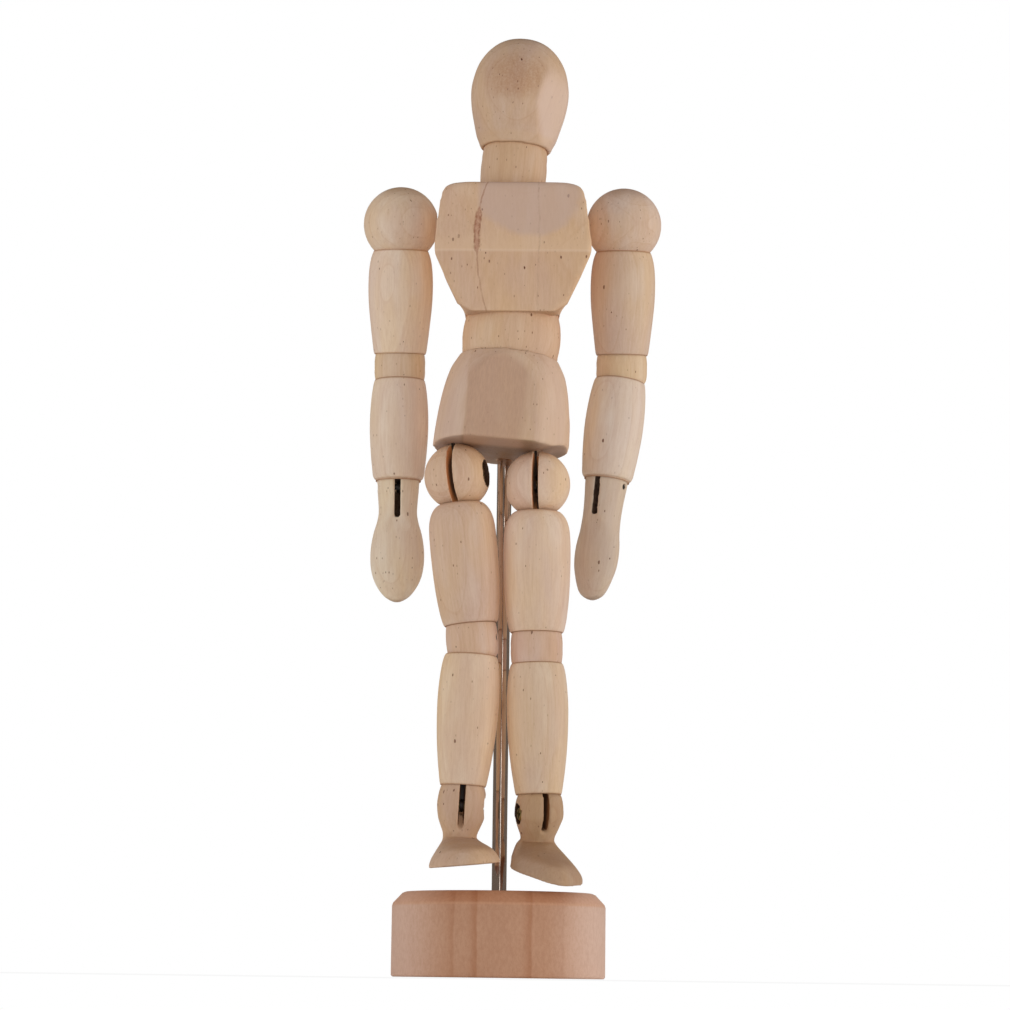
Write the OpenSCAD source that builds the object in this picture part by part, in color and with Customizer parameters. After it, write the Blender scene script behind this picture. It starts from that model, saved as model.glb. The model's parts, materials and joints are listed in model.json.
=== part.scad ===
// Wooden artist mannequin on a rod stand. Millimetres, +Z up, the figure faces -Y.
// Every piece is drawn for a figure that stands straight; the pose at the end of
// the Customizer sections then turns each one about the joints that carry it.

/* [Stand] */
// Diameter of the base
base_d = 67.4; // [60:0.2:80]
// Height of the base
base_h = 26.5; // [20:0.5:32]
// Width of the bevel round the top of the base
base_bevel = 3.2; // [1:0.1:5]
// Diameter of the support rod
rod_d = 4.7; // [4:0.1:5.5]
// Height of the top end of the rod
rod_top = 183; // [178:0.5:185]

/* [Torso] */
// Distance of the torso axis in front of the rod
torso_y = 10; // [8.5:0.5:11]
// Height of the middle of the waist barrel
waist_z = 202.7; // [202.4:0.1:203]
// Largest radius of the waist barrel
waist_r = 15.8; // [15.4:0.1:16.2]
// Height of the underside of the pelvis, at the rod
pelvis_bottom = 165.1; // [164.8:0.1:165.4]
// Half width of the chest at the crease
chest_half = 25.4; // [24:0.1:27]
// Height of the top of the chest
chest_top = 252; // [251.6:0.1:252.4]
// Height of the crease across the front of the chest
crease_z = 228; // [226:0.5:230]
// Height of the middle of the neck barrel
neck_z = 258.9; // [258.7:0.1:259.2]
// Largest radius of the neck barrel
neck_r = 10.7; // [10.4:0.1:11]
// Height of the top of the head
head_top = 302.7; // [302:0.1:304]

/* [Arms] */
// Distance of the shoulder centre from the middle
shoulder_x = 36.2; // [36.1:0.1:36.6]
// Distance of the shoulder centres in front of the rod
shoulder_y = 5.5; // [5:0.1:5.6]
// Height of the shoulder centre
shoulder_z = 241.8; // [241.5:0.1:242]
// Radius of the shoulder ball
shoulder_r = 12.2; // [11.8:0.1:12.4]
// Height of the elbow centre
elbow_z = 195.4; // [195.1:0.1:195.7]
// Height of the wrist centre
wrist_z = 156.2; // [156:0.1:156.5]

/* [Legs] */
// Distance of the hip centre from the middle
hip_x = 12.75; // [12.6:0.05:13.2]
// Distance of the hip centres in front of the rod
hip_y = 13.9; // [13.7:0.1:14.5]
// Height of the hip centre
hip_z = 155.8; // [155.6:0.1:156]
// Radius of the hip ball
hip_r = 10.5; // [10.2:0.1:10.7]
// Height of the knee centre
knee_z = 103.5; // [103.2:0.1:103.8]
// Height of the ankle centre
ankle_z = 51.5; // [51.3:0.1:51.8]

/* [Fit] */
// Gap between a ball or barrel and its socket
gap = 0.25; // [0.15:0.05:0.35]
// Radius of the bores that hold the springs
bore_r = 3; // [2.9:0.1:3.2]
// Outer radius of the spring coils
coil_r = 2.4; // [2.2:0.1:2.5]
// Thickness of the spring wire
wire = 0.9; // [0.8:0.05:1]
// Width of the slots seen from the front
slot_w = 1.9; // [1.9:0.1:2.4]

/* [Pose] */
// Lean of the pelvis to the figure's left
pelvis_roll = 4.8; // [0:0.2:5]
// Tip of the pelvis
pelvis_tip = -1; // [-2:0.5:0]
// Sideways lean of the neck
neck_lean = 4.2; // [0:0.2:5]
// Backward swing of the upper arms
arm_back = 9; // [4:1:11]
// Forward bend at the elbows, shared by both sides of the barrel
elbow_fold = 3.5; // [0:0.5:6]
// Outward lean of the right upper arm
right_arm_lean = 0.2; // [0:0.1:1]
// Inward lean of the left upper arm
left_arm_lean = 0.5; // [0:0.1:0.8]
// Inward tilt of the left forearm on its elbow
left_forearm_tilt = 7; // [0:0.5:7.5]
// Extra fold of the left elbow, shared by both sides of the barrel
left_elbow_more = 1.5; // [0:0.5:2]
// Inward turn of the left hand on its forearm
left_hand_turn = 28; // [0:1:30]
// Outward turn of the right leg in the pelvis
right_hip_turn = 14; // [0:1:15]
// Inward turn of the left leg in the pelvis
left_hip_turn = 5; // [0:1:6]
// Sideways lean of the right thigh
right_thigh_lean = -10.3; // [-10.8:0.1:-9.6]
// Sideways lean of the left thigh
left_thigh_lean = -5.1; // [-5.6:0.1:-4.6]
// Outward tilt of the right shin
right_shin_tilt = 8.2; // [6:0.1:9]
// Outward tilt of the left shin
left_shin_tilt = -1; // [-2:0.1:2]
// Turn of the right foot on its shin, back to the front
right_foot_turn = 15; // [0:1:16]
// Outward turn of the left foot on its shin
left_foot_turn = 23; // [0:1:24]
// Toe-down tip of the left foot
left_foot_tip = 13; // [0:1:14]

/* [Hidden] */
$fn = 64;

wood = [0.84, 0.73, 0.60];
wood2 = [0.80, 0.69, 0.56];
base_wood = [0.74, 0.58, 0.46];
steel = [0.70, 0.70, 0.72];
zinc = [0.82, 0.70, 0.36];

X = [1, 0, 0];
Y = [0, 1, 0];
Z = [0, 0, 1];
R = -1;   // the figure's right, at -X
L = 1;

// joint centres of the straight figure
waist_c = 3;            // the two waist pins sit this far above and below the middle
neck_c = 2.5;
c_waist_lo = [0, -torso_y, waist_z - waist_c];
c_waist_hi = [0, -torso_y, waist_z + waist_c];
c_neck_lo = [0, -torso_y, neck_z - neck_c];
c_neck_hi = [0, -torso_y, neck_z + neck_c];
function c_shoulder(s) = [s * shoulder_x - 0.1, -shoulder_y, shoulder_z];
function c_elbow(s) = [s * shoulder_x - 0.1, -shoulder_y, elbow_z];
function c_wrist(s) = [s * shoulder_x - 0.1, -shoulder_y, wrist_z];
function c_hip(s) = [s * hip_x, -hip_y, hip_z];
function c_knee(s) = [s * hip_x, -hip_y, knee_z];
function c_ankle(s) = [s * hip_x, -hip_y, ankle_z];
pivot = [0, 0, rod_top];

// spherical ends: rim height above the centre, rim radius
waist_rim_h = 6.05;
waist_rim_r = 15.2;
waist_R = sqrt(waist_rim_r * waist_rim_r + (waist_rim_h - waist_c) * (waist_rim_h - waist_c));
neck_rim_h = 6.8;
neck_rim_r = 10.3;
neck_R = sqrt(neck_rim_r * neck_rim_r + (neck_rim_h - neck_c) * (neck_rim_h - neck_c));
elbow_rim_h = 4.1;
elbow_R = 8.95;
elbow_r = 8.3;
knee_rim_h = 4.75;
knee_R = 9.2;
knee_r = 8.25;
wrist_R = 7.2;
wrist_rim_h = 2.2;
ankle_R = 9;
ankle_rim_h = 6;

// ---------------------------------------------------------------- pose

module turn(p, v, a) { translate(p) rotate(a = a, v = v) translate(-p) children(); }

module at_pelvis() { turn(pivot, Y, pelvis_roll) turn(pivot, X, pelvis_tip) children(); }
module at_waist_link() { at_pelvis() children(); }
module at_waist() { at_waist_link() turn(c_waist_lo, X, -pelvis_tip) children(); }
module at_chest() { at_waist() turn(c_waist_hi, Y, -pelvis_roll - 0.4) children(); }
module at_neck_link() { at_chest() children(); }
module at_neck() { at_neck_link() turn(c_neck_lo, Y, neck_lean) children(); }
module at_head() { at_neck() children(); }

module at_shoulder(s) { at_chest() turn(c_shoulder(s), X, arm_back) children(); }
module at_arm_link(s) { at_shoulder(s) turn(c_shoulder(s), Y, s == L ? left_arm_lean : right_arm_lean) children(); }
module at_upper_arm(s) { at_arm_link(s) children(); }
function fold(s) = elbow_fold + (s == L ? left_elbow_more : 0);
module at_elbow(s) { at_upper_arm(s) turn(c_elbow(s), X, -fold(s)) children(); }
module at_forearm(s) {
  at_elbow(s) turn(c_elbow(s), X, -fold(s)) turn(c_elbow(s), Y, s == L ? left_forearm_tilt : 0) children();
}
module at_hand(s) { at_forearm(s) turn(c_wrist(s), Z, s == L ? -left_hand_turn : 0) children(); }

module at_hip_link(s) {
  at_pelvis() turn(c_hip(s), Y, s == L ? left_thigh_lean : right_thigh_lean)
    turn(c_hip(s), Z, s == L ? -left_hip_turn : -right_hip_turn) children();
}
module at_hip_ball(s) { at_hip_link(s) turn(c_hip(s), X, 1) children(); }
module at_thigh(s) { at_hip_ball(s) turn(c_hip(s), X, 1) children(); }
function knee_fold(s) = s == L ? -0.5 : -1.6;
module at_knee(s) { at_thigh(s) turn(c_knee(s), X, knee_fold(s)) children(); }
module at_shin(s) {
  at_knee(s) turn(c_knee(s), X, knee_fold(s))
    turn(c_knee(s), Y, s == L ? left_shin_tilt : right_shin_tilt) children();
}
module at_ankle_link(s) { at_shin(s) turn(c_ankle(s), Z, s == L ? left_foot_turn : right_foot_turn) children(); }
module at_foot(s) { at_ankle_link(s) turn(c_ankle(s), X, s == L ? left_foot_tip : 2) children(); }

// ---------------------------------------------------------------- shared shapes

// smooth curve through hand-set [z, r] points
function cr(a, b, c, d, t) = 0.5 * ((2 * b) + (c - a) * t + (2 * a - 5 * b + 4 * c - d) * t * t
  + (3 * b - a - 3 * c + d) * t * t * t);
function smooth(p, n = 3) = concat([for (i = [0 : len(p) - 2], k = [0 : n - 1])
  let (a = p[max(i - 1, 0)], b = p[i], c = p[i + 1], d = p[min(i + 2, len(p) - 1)], t = k / n)
  [cr(a[0], b[0], c[0], d[0], t), cr(a[1], b[1], c[1], d[1], t)]], [p[len(p) - 1]]);

// a turned piece; points run from the top down
module turned(p, n = 3) {
  q = smooth(p, n);
  rotate_extrude($fn = 96)
    polygon(concat([[0, q[0][0]]], [for (v = q) [max(v[1], 0), v[0]]], [[0, q[len(q) - 1][0]]]));
}

module at_x(c) { translate(c) rotate([0, 90, 0]) children(); }
module at_y(c) { translate(c) rotate([90, 0, 0]) children(); }

// a barrel with a bulged side and two spherical ends whose centres lie cc above and below
module barrel(rm, rim_r, rim_h, RR, cc) {
  k = (rim_h * rim_h + (rm - rim_r) * (rm - rim_r)) / (2 * (rm - rim_r));   // bulge radius
  union() {
    rotate_extrude($fn = 96) intersection() {
      translate([rm - k, 0]) circle(r = k, $fn = 400);
      translate([0, -rim_h]) square([rm + 1, 2 * rim_h]);
    }
    intersection() {
      translate([0, 0, cc]) sphere(r = RR - 0.06, $fn = 96);
      translate([0, 0, rim_h - 0.01 + 20]) cube([60, 60, 40], center = true);
    }
    intersection() {
      translate([0, 0, -cc]) sphere(r = RR - 0.06, $fn = 96);
      translate([0, 0, -rim_h + 0.01 - 20]) cube([60, 60, 40], center = true);
    }
  }
}

// room for a blade that swings by sw degrees each side of +Z, about the X axis
function swung(x, z, a) = [x * cos(a) + z * sin(a), z * cos(a) - x * sin(a)];
module swing_room(w, sw, len, half) {
  rotate([90, 0, 90]) translate([0, 0, -w / 2]) linear_extrude(w)
    polygon(concat([swung(-half, 0, -sw), swung(-half, len, -sw)], [for (k = [-3 : 3]) swung(0, len + 1, k * sw / 4)],
      [swung(half, len, sw), swung(half, 0, sw)]));
}

// flat eye with its hole along X at the origin; the blade runs up +Z
module eye(th, r_out, r_hole, len, bw, off = 0) {
  translate([off, 0, 0]) difference() {
    union() {
      rotate([0, 90, 0]) cylinder(r = r_out, h = th, center = true);
      translate([-th / 2, -bw / 2, 0]) cube([th, bw, len]);
    }
    rotate([0, 90, 0]) cylinder(r = r_hole, h = th + 2, center = true);
  }
}

// close-wound coil between two heights, with solid ends
module coil(z0, z1) {
  n = floor((z1 - z0) / wire);
  p = (z1 - z0) / n;
  translate([0, 0, z0]) rotate_extrude() union() {
    for (i = [0 : n - 1]) translate([coil_r - wire / 2, p * (i + 0.5)]) circle(r = p / 2 + 0.02, $fn = 24);
    translate([coil_r - wire / 2 - 0.15, p / 2]) square([0.3, z1 - z0 - p]);
  }
}

// pierced cap that closes a coil round the shank of a swivel link
module cap(z0, h, hole) {
  translate([0, 0, z0]) difference() {
    cylinder(r = coil_r - 0.1, h = h);
    translate([0, 0, -1]) cylinder(r = hole, h = h + 2);
  }
}
module plug(z0, h) { translate([0, 0, z0]) cylinder(r = coil_r - 0.1, h = h); }

// ---------------------------------------------------------------- stand

module base() {
  color(base_wood) difference() {
    rotate_extrude($fn = 128) polygon([[0, 0], [base_d / 2 - 0.5, 0], [base_d / 2, 0.5],
      [base_d / 2, base_h - base_bevel - 1.2], [base_d / 2 - 0.35, base_h - base_bevel - 0.2],
      [base_d / 2 - base_bevel, base_h - 0.4], [base_d / 2 - base_bevel - 1, base_h], [0, base_h]]);
    translate([0, 0, 8.5]) cylinder(d = rod_d + 0.1, h = base_h);
  }
}

module support_rod() {
  color(steel) translate([0, 0, 8.6]) union() {
    cylinder(d = rod_d, h = rod_top - 9.2);
    translate([0, 0, rod_top - 9.2]) cylinder(d1 = rod_d, d2 = rod_d - 1.2, h = 0.6);
  }
}

// ---------------------------------------------------------------- torso

module pelvis() {
  b = pelvis_bottom;
  color(wood) difference() {
    at_pelvis() difference() {
      intersection() {
        translate([0, -torso_y, 0]) turned([[waist_z - 6.2, 15.65], [waist_z - 7, 16.2], [waist_z - 8.6, 17.1],
          [191.5, 18.4], [188, 19.4], [183.5, 20.3], [178, 21], [172, 21.5], [b, 21.8], [b - 4, 21.9]]);
        // sanded front and flattened back
        translate([0, -torso_y - 19.5, b]) rotate([-5.5, 0, 0]) translate([-40, 0, -10]) cube([80, 60, 60]);
        translate([-40, -50 - torso_y, b - 5]) cube([80, 66.6, 60]);
        // underside, a little higher in front
        translate([0, 0, b]) rotate([-3, 0, 0]) translate([-40, -60, 0]) cube([80, 100, 60]);
      }
      translate(c_waist_lo) sphere(r = waist_R + gap, $fn = 96);
      translate([0, -torso_y, waist_z - 28.6]) cylinder(r = 1.5, h = 20);
      for (s = [R, L]) translate(c_hip(s)) sphere(r = hip_r + gap, $fn = 96);
      for (s = [R, L]) turn(c_hip(s), Y, s == L ? left_thigh_lean : right_thigh_lean)
        translate(c_hip(s)) cylinder(r = 1.5, h = 20);
    }
    cylinder(d = rod_d + 0.3, h = rod_top + 0.2);
  }
}

module waist_link() {
  color(steel) at_waist_link() translate(c_waist_lo) rotate([180, 0, 0]) union() {
    eye(1.6, 2.8, 1.7, 14.2, 3);
    translate([0, 0, 14]) cylinder(r = 1.3, h = 11);
  }
}

module waist_barrel() {
  color(wood2) at_waist() translate([0, -torso_y, waist_z]) difference() {
    barrel(waist_r, waist_rim_r, waist_rim_h, waist_R, waist_c);
    // lower pin along X, upper pin along Y
    translate([0, 0, -waist_c]) {
      at_x([0, 0, 0]) cylinder(r = 1.55, h = 40, center = true);
      at_x([0, 0, 0]) cylinder(r = 2.95, h = 3.2, center = true);
      rotate([180, 0, 0]) swing_room(3.3, 22, 18, 1.9);
    }
    translate([0, 0, waist_c]) rotate([0, 0, 90]) {
      at_x([-9, 0, 0]) cylinder(r = 1.55, h = 40);
      at_x([0, 0, 0]) cylinder(r = 2.95, h = 3.2, center = true);
      swing_room(3.3, 18, 18, 1.9);
    }
  }
}

module waist_pins() {
  color(steel) at_waist() translate([0, -torso_y, waist_z]) {
    at_x([0, 0, -waist_c]) cylinder(r = 1.5, h = 29.6, center = true);
    at_y([0, 14.8, waist_c]) cylinder(r = 1.5, h = 23.6);
  }
}

chest_bottom = waist_z + 6;

module chest_front(f, a) {
  translate([0, -torso_y - 18, 0]) rotate([0, 0, a]) translate([0, 60, 0]) rotate([90, 0, 0]) linear_extrude(80)
    polygon(concat([for (p = f) [p[1], p[0]]], [for (i = [len(f) - 1 : -1 : 0]) [-f[i][1], f[i][0]]]));
}

module chest() {
  h = chest_half;
  t = chest_top;
  z = crease_z;
  f = smooth([[t, 14], [t - 0.3, 18.4], [t - 1.5, 21.8], [t - 3.6, 23.8], [t - 7, 24.5], [t - 14, h - 0.5], [z + 4, h - 0.1],
    [z + 0.5, h], [z - 1.5, h - 0.6], [z - 6, h - 2.7], [z - 11, h - 5.1], [z - 14.5, h - 6.8], [chest_bottom + 2.6, h - 7.7], [chest_bottom + 1, h - 8.5], [chest_bottom + 0.3, h - 10], [chest_bottom, h - 12.5]]);
  color(wood) at_chest() difference() {
    intersection() {
      // front view, a little narrower towards the back
      chest_front(f, 5);
      chest_front(f, -5);
      // side view: two front planes that meet at the crease
      translate([-40, -torso_y, 0]) rotate([90, 0, 90]) linear_extrude(80)
        polygon([[-12.2, t + 1], [-14.2, t - 1.2], [-18, z], [-16.2, chest_bottom - 1], [16, chest_bottom - 1], [17, z + 4], [15, t - 3], [12.6, t + 1]]);
      // plan with rounded corners
      translate([0, -torso_y, 0]) linear_extrude(300) union() {
        square([2 * h - 6.4, 60], center = true);
        translate([-h - 1, -15]) square([2 * h + 2, 22]);
        for (i = [-1, 1]) translate([i * (h - 3.2), -15]) circle(r = 3.6);
        for (i = [-1, 1]) translate([i * (h - 9), 7]) circle(r = 9.4);
      }
    }
    translate(c_waist_hi) sphere(r = waist_R + gap, $fn = 96);
    translate([0, -torso_y, waist_z]) cylinder(r = bore_r, h = 31.4);
    translate(c_neck_lo) sphere(r = neck_R + gap, $fn = 96);
    translate([0, -torso_y, neck_z - 19.7]) cylinder(r = 1.3, h = 20);
    for (s = [R, L]) translate(c_shoulder(s)) sphere(r = shoulder_r + gap, $fn = 96);
    at_x([0, -shoulder_y, shoulder_z]) cylinder(r = bore_r - 0.2, h = 80, center = true);
  }
}

module spine_spring() {
  color(steel) at_chest() translate([0, -torso_y, 0]) union() {
    translate([0, 0, waist_z + waist_c]) rotate([0, 0, 90]) eye(1.6, 2.8, 1.7, 16.2, 3);
    plug(waist_z + 18.6, 1.4);
    coil(waist_z + 18.6 + 0.7, waist_z + 29.6);
    plug(waist_z + 28.6, 1.6);
  }
}

module shoulder_spring() {
  c = shoulder_x - shoulder_r - 2.6;    // half length
  color(steel) at_chest() translate([-0.1, -shoulder_y, shoulder_z]) rotate([0, 90, 0]) union() {
    coil(-c + 0.5, c - 0.5);
    cap(c - 1.2, 1.2, 1.15);
    cap(-c, 1.2, 1.15);
  }
}

module neck_link() {
  color(steel) at_neck_link() translate(c_neck_lo) rotate([180, 0, 0]) rotate([0, 0, 90]) union() {
    eye(1.2, 2.2, 1.2, 8.4, 2.4);
    translate([0, 0, 8.2]) cylinder(r = 1.1, h = 8.6);
  }
}

module neck_barrel() {
  color(wood2) at_neck() translate([0, -torso_y, neck_z]) difference() {
    barrel(neck_r, neck_rim_r, neck_rim_h, neck_R, neck_c);
    // lower pin along Y, upper pin along X
    translate([0, 0, -neck_c]) rotate([0, 0, 90]) {
      at_x([-6, 0, 0]) cylinder(r = 1.05, h = 40);
      at_x([0, 0, 0]) cylinder(r = 2.4, h = 2.8, center = true);
      rotate([180, 0, 0]) swing_room(2.9, 20, 14, 1.6);
    }
    translate([0, 0, neck_c]) {
      at_x([0, 0, 0]) cylinder(r = 1.05, h = 40, center = true);
      at_x([0, 0, 0]) cylinder(r = 2.4, h = 2.8, center = true);
      swing_room(2.9, 27, 14, 1.6);
    }
  }
}

module neck_pins() {
  color(steel) at_neck() translate([0, -torso_y, neck_z]) {
    at_y([0, 9.8, -neck_c]) cylinder(r = 1, h = 15.6);
    at_x([0, 0, neck_c]) cylinder(r = 1, h = 19.6, center = true);
  }
}

module head() {
  t = head_top;
  b = neck_z + neck_rim_h;
  color(wood) at_head() difference() {
    translate([0, -torso_y, 0]) turned([[t, 0], [t - 0.25, 3], [t - 1.2, 6.4], [t - 3, 9.4], [t - 6, 12.2], [t - 10, 14.4], [t - 15, 15.65],
      [t - 19, 15.9], [t - 24, 15.3], [t - 29, 14.1], [t - 33, 13.0], [b + 2, 12.1], [b + 0.5, 11.5], [b - 0.1, 10.9]], 4);
    translate(c_neck_hi) sphere(r = neck_R + gap, $fn = 96);
    translate(c_neck_hi) cylinder(r = 1.45, h = 22);
    // sanded cheek
    translate([0, -torso_y, t - 19]) rotate([0, 0, 50]) rotate([9.5, 0, 0]) translate([-20, -34.3, -40]) cube([40, 20, 60]);
  }
}

module head_link() {
  color(steel) at_head() translate(c_neck_hi) union() {
    eye(1.2, 2.2, 1.2, 12, 2.4);
    translate([0, 0, 11.8]) cylinder(r = 1.2, h = 9);
  }
}

// ---------------------------------------------------------------- arms

module shoulder_ball(s) {
  color(wood2) at_shoulder(s) translate(c_shoulder(s)) difference() {
    sphere(r = shoulder_r, $fn = 96);
    // flat seat on the arm side is left round; bore for the fork from the chest side
    rotate([0, s * -90, 0]) translate([0, 0, -3.2]) cylinder(r = 3.1, h = 20);
    // slot for the arm link, from straight down to straight out
    rotate([0, 0, 90]) for (k = [0 : 10 : 90]) rotate([180 - s * k, 0, 0]) translate([-0.9, -1.5, 0]) cube([1.8, 3, 14]);
    rotate([0, 0, 90]) rotate([0, 90, 0]) cylinder(r = 2.8, h = 1.8, center = true);
    // slack past straight down
    rotate([0, 0, 90]) rotate([180 + s * 8, 0, 0]) translate([-0.9, -1.5, 0]) cube([1.8, 3, 14]);
  }
}

module shoulder_hook(s) {
  color(steel) at_shoulder(s) translate(c_shoulder(s)) rotate([0, s * -90, 0]) union() {
    difference() {
      union() {
        translate([0, 0, -2.2]) cylinder(r = 2.9, h = 5.4);
        translate([0, 0, 3]) cylinder(r = 1, h = 15.6);
        translate([0, 0, 17]) cylinder(r = 1.35, h = 1.6);
      }
      translate([-4, -0.85, -4]) cube([8, 1.7, 6.4]);
    }
    rotate([90, 0, 0]) cylinder(r = 1, h = 3.4, center = true);
  }
}

module arm_link(s) {
  color(steel) at_arm_link(s) translate(c_shoulder(s)) rotate([180, 0, 0]) union() {
    rotate([0, 0, 90]) eye(1.2, 2.0, 1.15, 11.2, 2.2);
    translate([0, 0, 11]) cylinder(r = 0.9, h = 8.6);
    translate([0, 0, 18.2]) cylinder(r = 1.3, h = 1.4);
  }
}

module upper_arm(s) {
  c = c_shoulder(s);
  color(wood) at_upper_arm(s) difference() {
    translate([c[0], c[1], 0]) turned([[shoulder_z - 8.2, 8.5], [shoulder_z - 9.2, 9.1], [shoulder_z - 11.5, 9.8], [shoulder_z - 15, 10.3],
      [shoulder_z - 20, 10.5], [shoulder_z - 26, 10.3], [shoulder_z - 33, 9.6], [elbow_z + 7.4, 8.9], [elbow_z + 5, 8.55], [elbow_z + 4.2, 8.2]]);
    translate(c) sphere(r = shoulder_r + gap, $fn = 96);
    translate(c_elbow(s)) sphere(r = elbow_R + gap, $fn = 96);
    translate([c[0], c[1], elbow_z]) cylinder(r = bore_r, h = shoulder_z - 16.2 - elbow_z);
    translate([c[0], c[1], elbow_z]) cylinder(r = 1.6, h = shoulder_z - elbow_z);
  }
}

module upper_arm_spring(s) {
  c = c_shoulder(s);
  top = shoulder_z - 16.6;
  bot = elbow_z + 11;
  color(steel) at_upper_arm(s) translate([c[0], c[1], 0]) union() {
    cap(top - 1.2, 1.2, 1.05);
    coil(bot + 0.7, top - 0.5);
    plug(bot, 1.4);
    translate([0, 0, elbow_z]) eye(0.9, 2.2, 1.2, 11.6, 2.4, -0.85);
  }
}

module hinge_room(c, R0, up, lo, wlo) {
  // pin hole, pocket and the two blade slots of an elbow or a knee
  translate(c) {
    at_x([0, 0, 0]) cylinder(r = 1.05, h = 40, center = true);
    at_x([0, 0, 0]) cylinder(r = 2.6, h = 3.4, center = true);
    translate([-0.85, 0, 0]) swing_room(1.5, up, R0 + 2, 1.5);
    translate([0.85, 0, 0]) rotate([180, 0, 0]) swing_room(wlo, lo, R0 + 2, 1.5);
  }
}

module elbow_barrel(s) {
  rr = sqrt(elbow_R * elbow_R - elbow_rim_h * elbow_rim_h);
  color(wood2) at_elbow(s) difference() {
    translate(c_elbow(s)) barrel(elbow_r, rr, elbow_rim_h, elbow_R, 0);
    hinge_room(c_elbow(s), elbow_R, 32, 32, s == L ? 4 : 1.6);
  }
}

module elbow_pin(s) {
  color(steel) at_elbow(s) at_x(c_elbow(s)) cylinder(r = 1, h = 15.6, center = true);
}

module forearm(s) {
  c = c_elbow(s);
  e = elbow_z;
  w = wrist_z;
  color(wood) at_forearm(s) difference() {
    translate([c[0], c[1], 0]) turned([[e - 4.2, 7.9], [e - 5, 8.3], [e - 7.5, 8.75], [e - 11, 9.15], [e - 16, 9.45], [e - 22, 9.45],
      [e - 29, 9.0], [w + 6, 8.55], [w + 3.8, 8.3], [w + 2.7, 7.9], [w + 2.2, 7.35]]);
    translate(c) sphere(r = elbow_R + gap, $fn = 96);
    translate(c_wrist(s)) sphere(r = wrist_R + gap, $fn = 96);
    translate([c[0], c[1], w]) cylinder(r = bore_r, h = e - w);
  }
}

module forearm_spring(s) {
  c = c_elbow(s);
  top = elbow_z - 11;
  bot = wrist_z + 9.4;
  color(steel) at_forearm(s) translate([c[0], c[1], 0]) union() {
    translate([0, 0, elbow_z]) rotate([180, 0, 0]) eye(0.9, 2.2, 1.25, 11.6, 2.4, 0.85);
    plug(top - 1.4, 1.4);
    coil(bot + 0.7, top - 0.7);
    plug(bot, 1.4);
    translate([0, 0, wrist_z]) rotate([0, 0, s == L ? -left_hand_turn : 0]) eye(1.2, 1.9, 1.1, 10, 2);
  }
}

module hand(s) {
  c = c_wrist(s);
  w = wrist_z;
  rr = sqrt(wrist_R * wrist_R - wrist_rim_h * wrist_rim_h);
  n = s == L ? 1.2 : 0;        // the left hand is a little narrower
  color(wood2) at_hand(s) difference() {
    translate([c[0], c[1], 0]) union() {
      intersection() {
        turned([[w + wrist_rim_h, rr], [w, 6.8], [w - 4, 6.45], [w - 8.5, 6.2], [w - 12, 6.8 - n / 2], [w - 15, 7.75 - n], [w - 19, 8.5 - n],
          [w - 23, 8.75 - n], [w - 27, 8.45 - n], [w - 30.5, 7.5 - n], [w - 33.5, 5.9 - n / 2], [w - 35.8, 4.0], [w - 37.2, 1.8], [w - 37.6, 0.6]], 3);
        // flattened palm and back
        translate([-20, 0, 0]) rotate([90, 0, 90]) linear_extrude(40) polygon([[-7.6, w + 4], [-7.2, w - 2], [-6, w - 9], [-5.3, w - 15],
          [-5.1, w - 23], [-4.4, w - 31], [-2.9, w - 36], [-1.2, w - 38.4], [1.2, w - 38.4], [2.9, w - 36], [4.4, w - 31], [5.1, w - 23], [5.3, w - 15],
          [6, w - 9], [7.2, w - 2], [7.6, w + 4]]);
      }
      translate([0, 0, w]) intersection() {
        sphere(r = wrist_R, $fn = 96);
        translate([0, 0, 20 + wrist_rim_h - 0.01]) cube([40, 40, 40], center = true);
      }
    }
    at_x(c) cylinder(r = 0.95, h = 40, center = true);
    at_x(c) cylinder(r = 2.3, h = slot_w, center = true);
    translate([c[0] - slot_w / 2, c[1] - 12, w - 10.4]) cube([slot_w, 13.8, 30]);
  }
}

module hand_pin(s) {
  color(steel) at_hand(s) at_x(c_wrist(s)) cylinder(r = 0.9, h = 12.6, center = true);
}

// ---------------------------------------------------------------- legs

module hip_link(s) {
  color(steel) at_hip_link(s) translate(c_hip(s)) union() {
    eye(0.7, 2.9, 1.65, 14, 2.1, -0.5);
    translate([0, 0, 13]) cylinder(r = 1.3, h = 6.4);
  }
}

module hip_ball(s) {
  color(wood2) at_hip_ball(s) translate(c_hip(s)) difference() {
    rotate([0, 90, 0]) sphere(r = hip_r, $fn = 96);
    // slot for both blades, open to the front
    translate([-slot_w / 2, -20, -20]) cube([slot_w, 23.2, 40]);
    at_x([0, 0, 0]) cylinder(r = 3.4, h = slot_w, center = true);
    // screw hole with a counterbore on the inner side
    rotate([0, s * -90, 0]) {
      translate([0, 0, -8]) cylinder(r = 1.55, h = 20);
      translate([0, 0, 6.4]) cylinder(r = 4.2, h = 20);
    }
  }
}

module cross_screw(head_r, head_h, shank_r, seat, len) {
  // pan head with a cross recess; the head sits on +Z
  difference() {
    union() {
      translate([0, 0, seat]) cylinder(r = head_r, h = head_h * 0.55);
      translate([0, 0, seat + head_h * 0.55]) cylinder(r1 = head_r, r2 = head_r * 0.72, h = head_h * 0.45);
      translate([0, 0, seat - len]) cylinder(r = shank_r, h = len + 0.1);
    }
    for (a = [0, 90]) rotate([0, 0, a]) translate([-head_r * 0.62, -0.42, seat + head_h * 0.35]) cube([head_r * 1.24, 0.84, head_h]);
  }
}

module hip_screw(s) {
  color(zinc) at_hip_ball(s) translate(c_hip(s)) rotate([0, s * -90, 0]) cross_screw(3.1, 2, 1.45, 6.45, 14);
}

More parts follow.
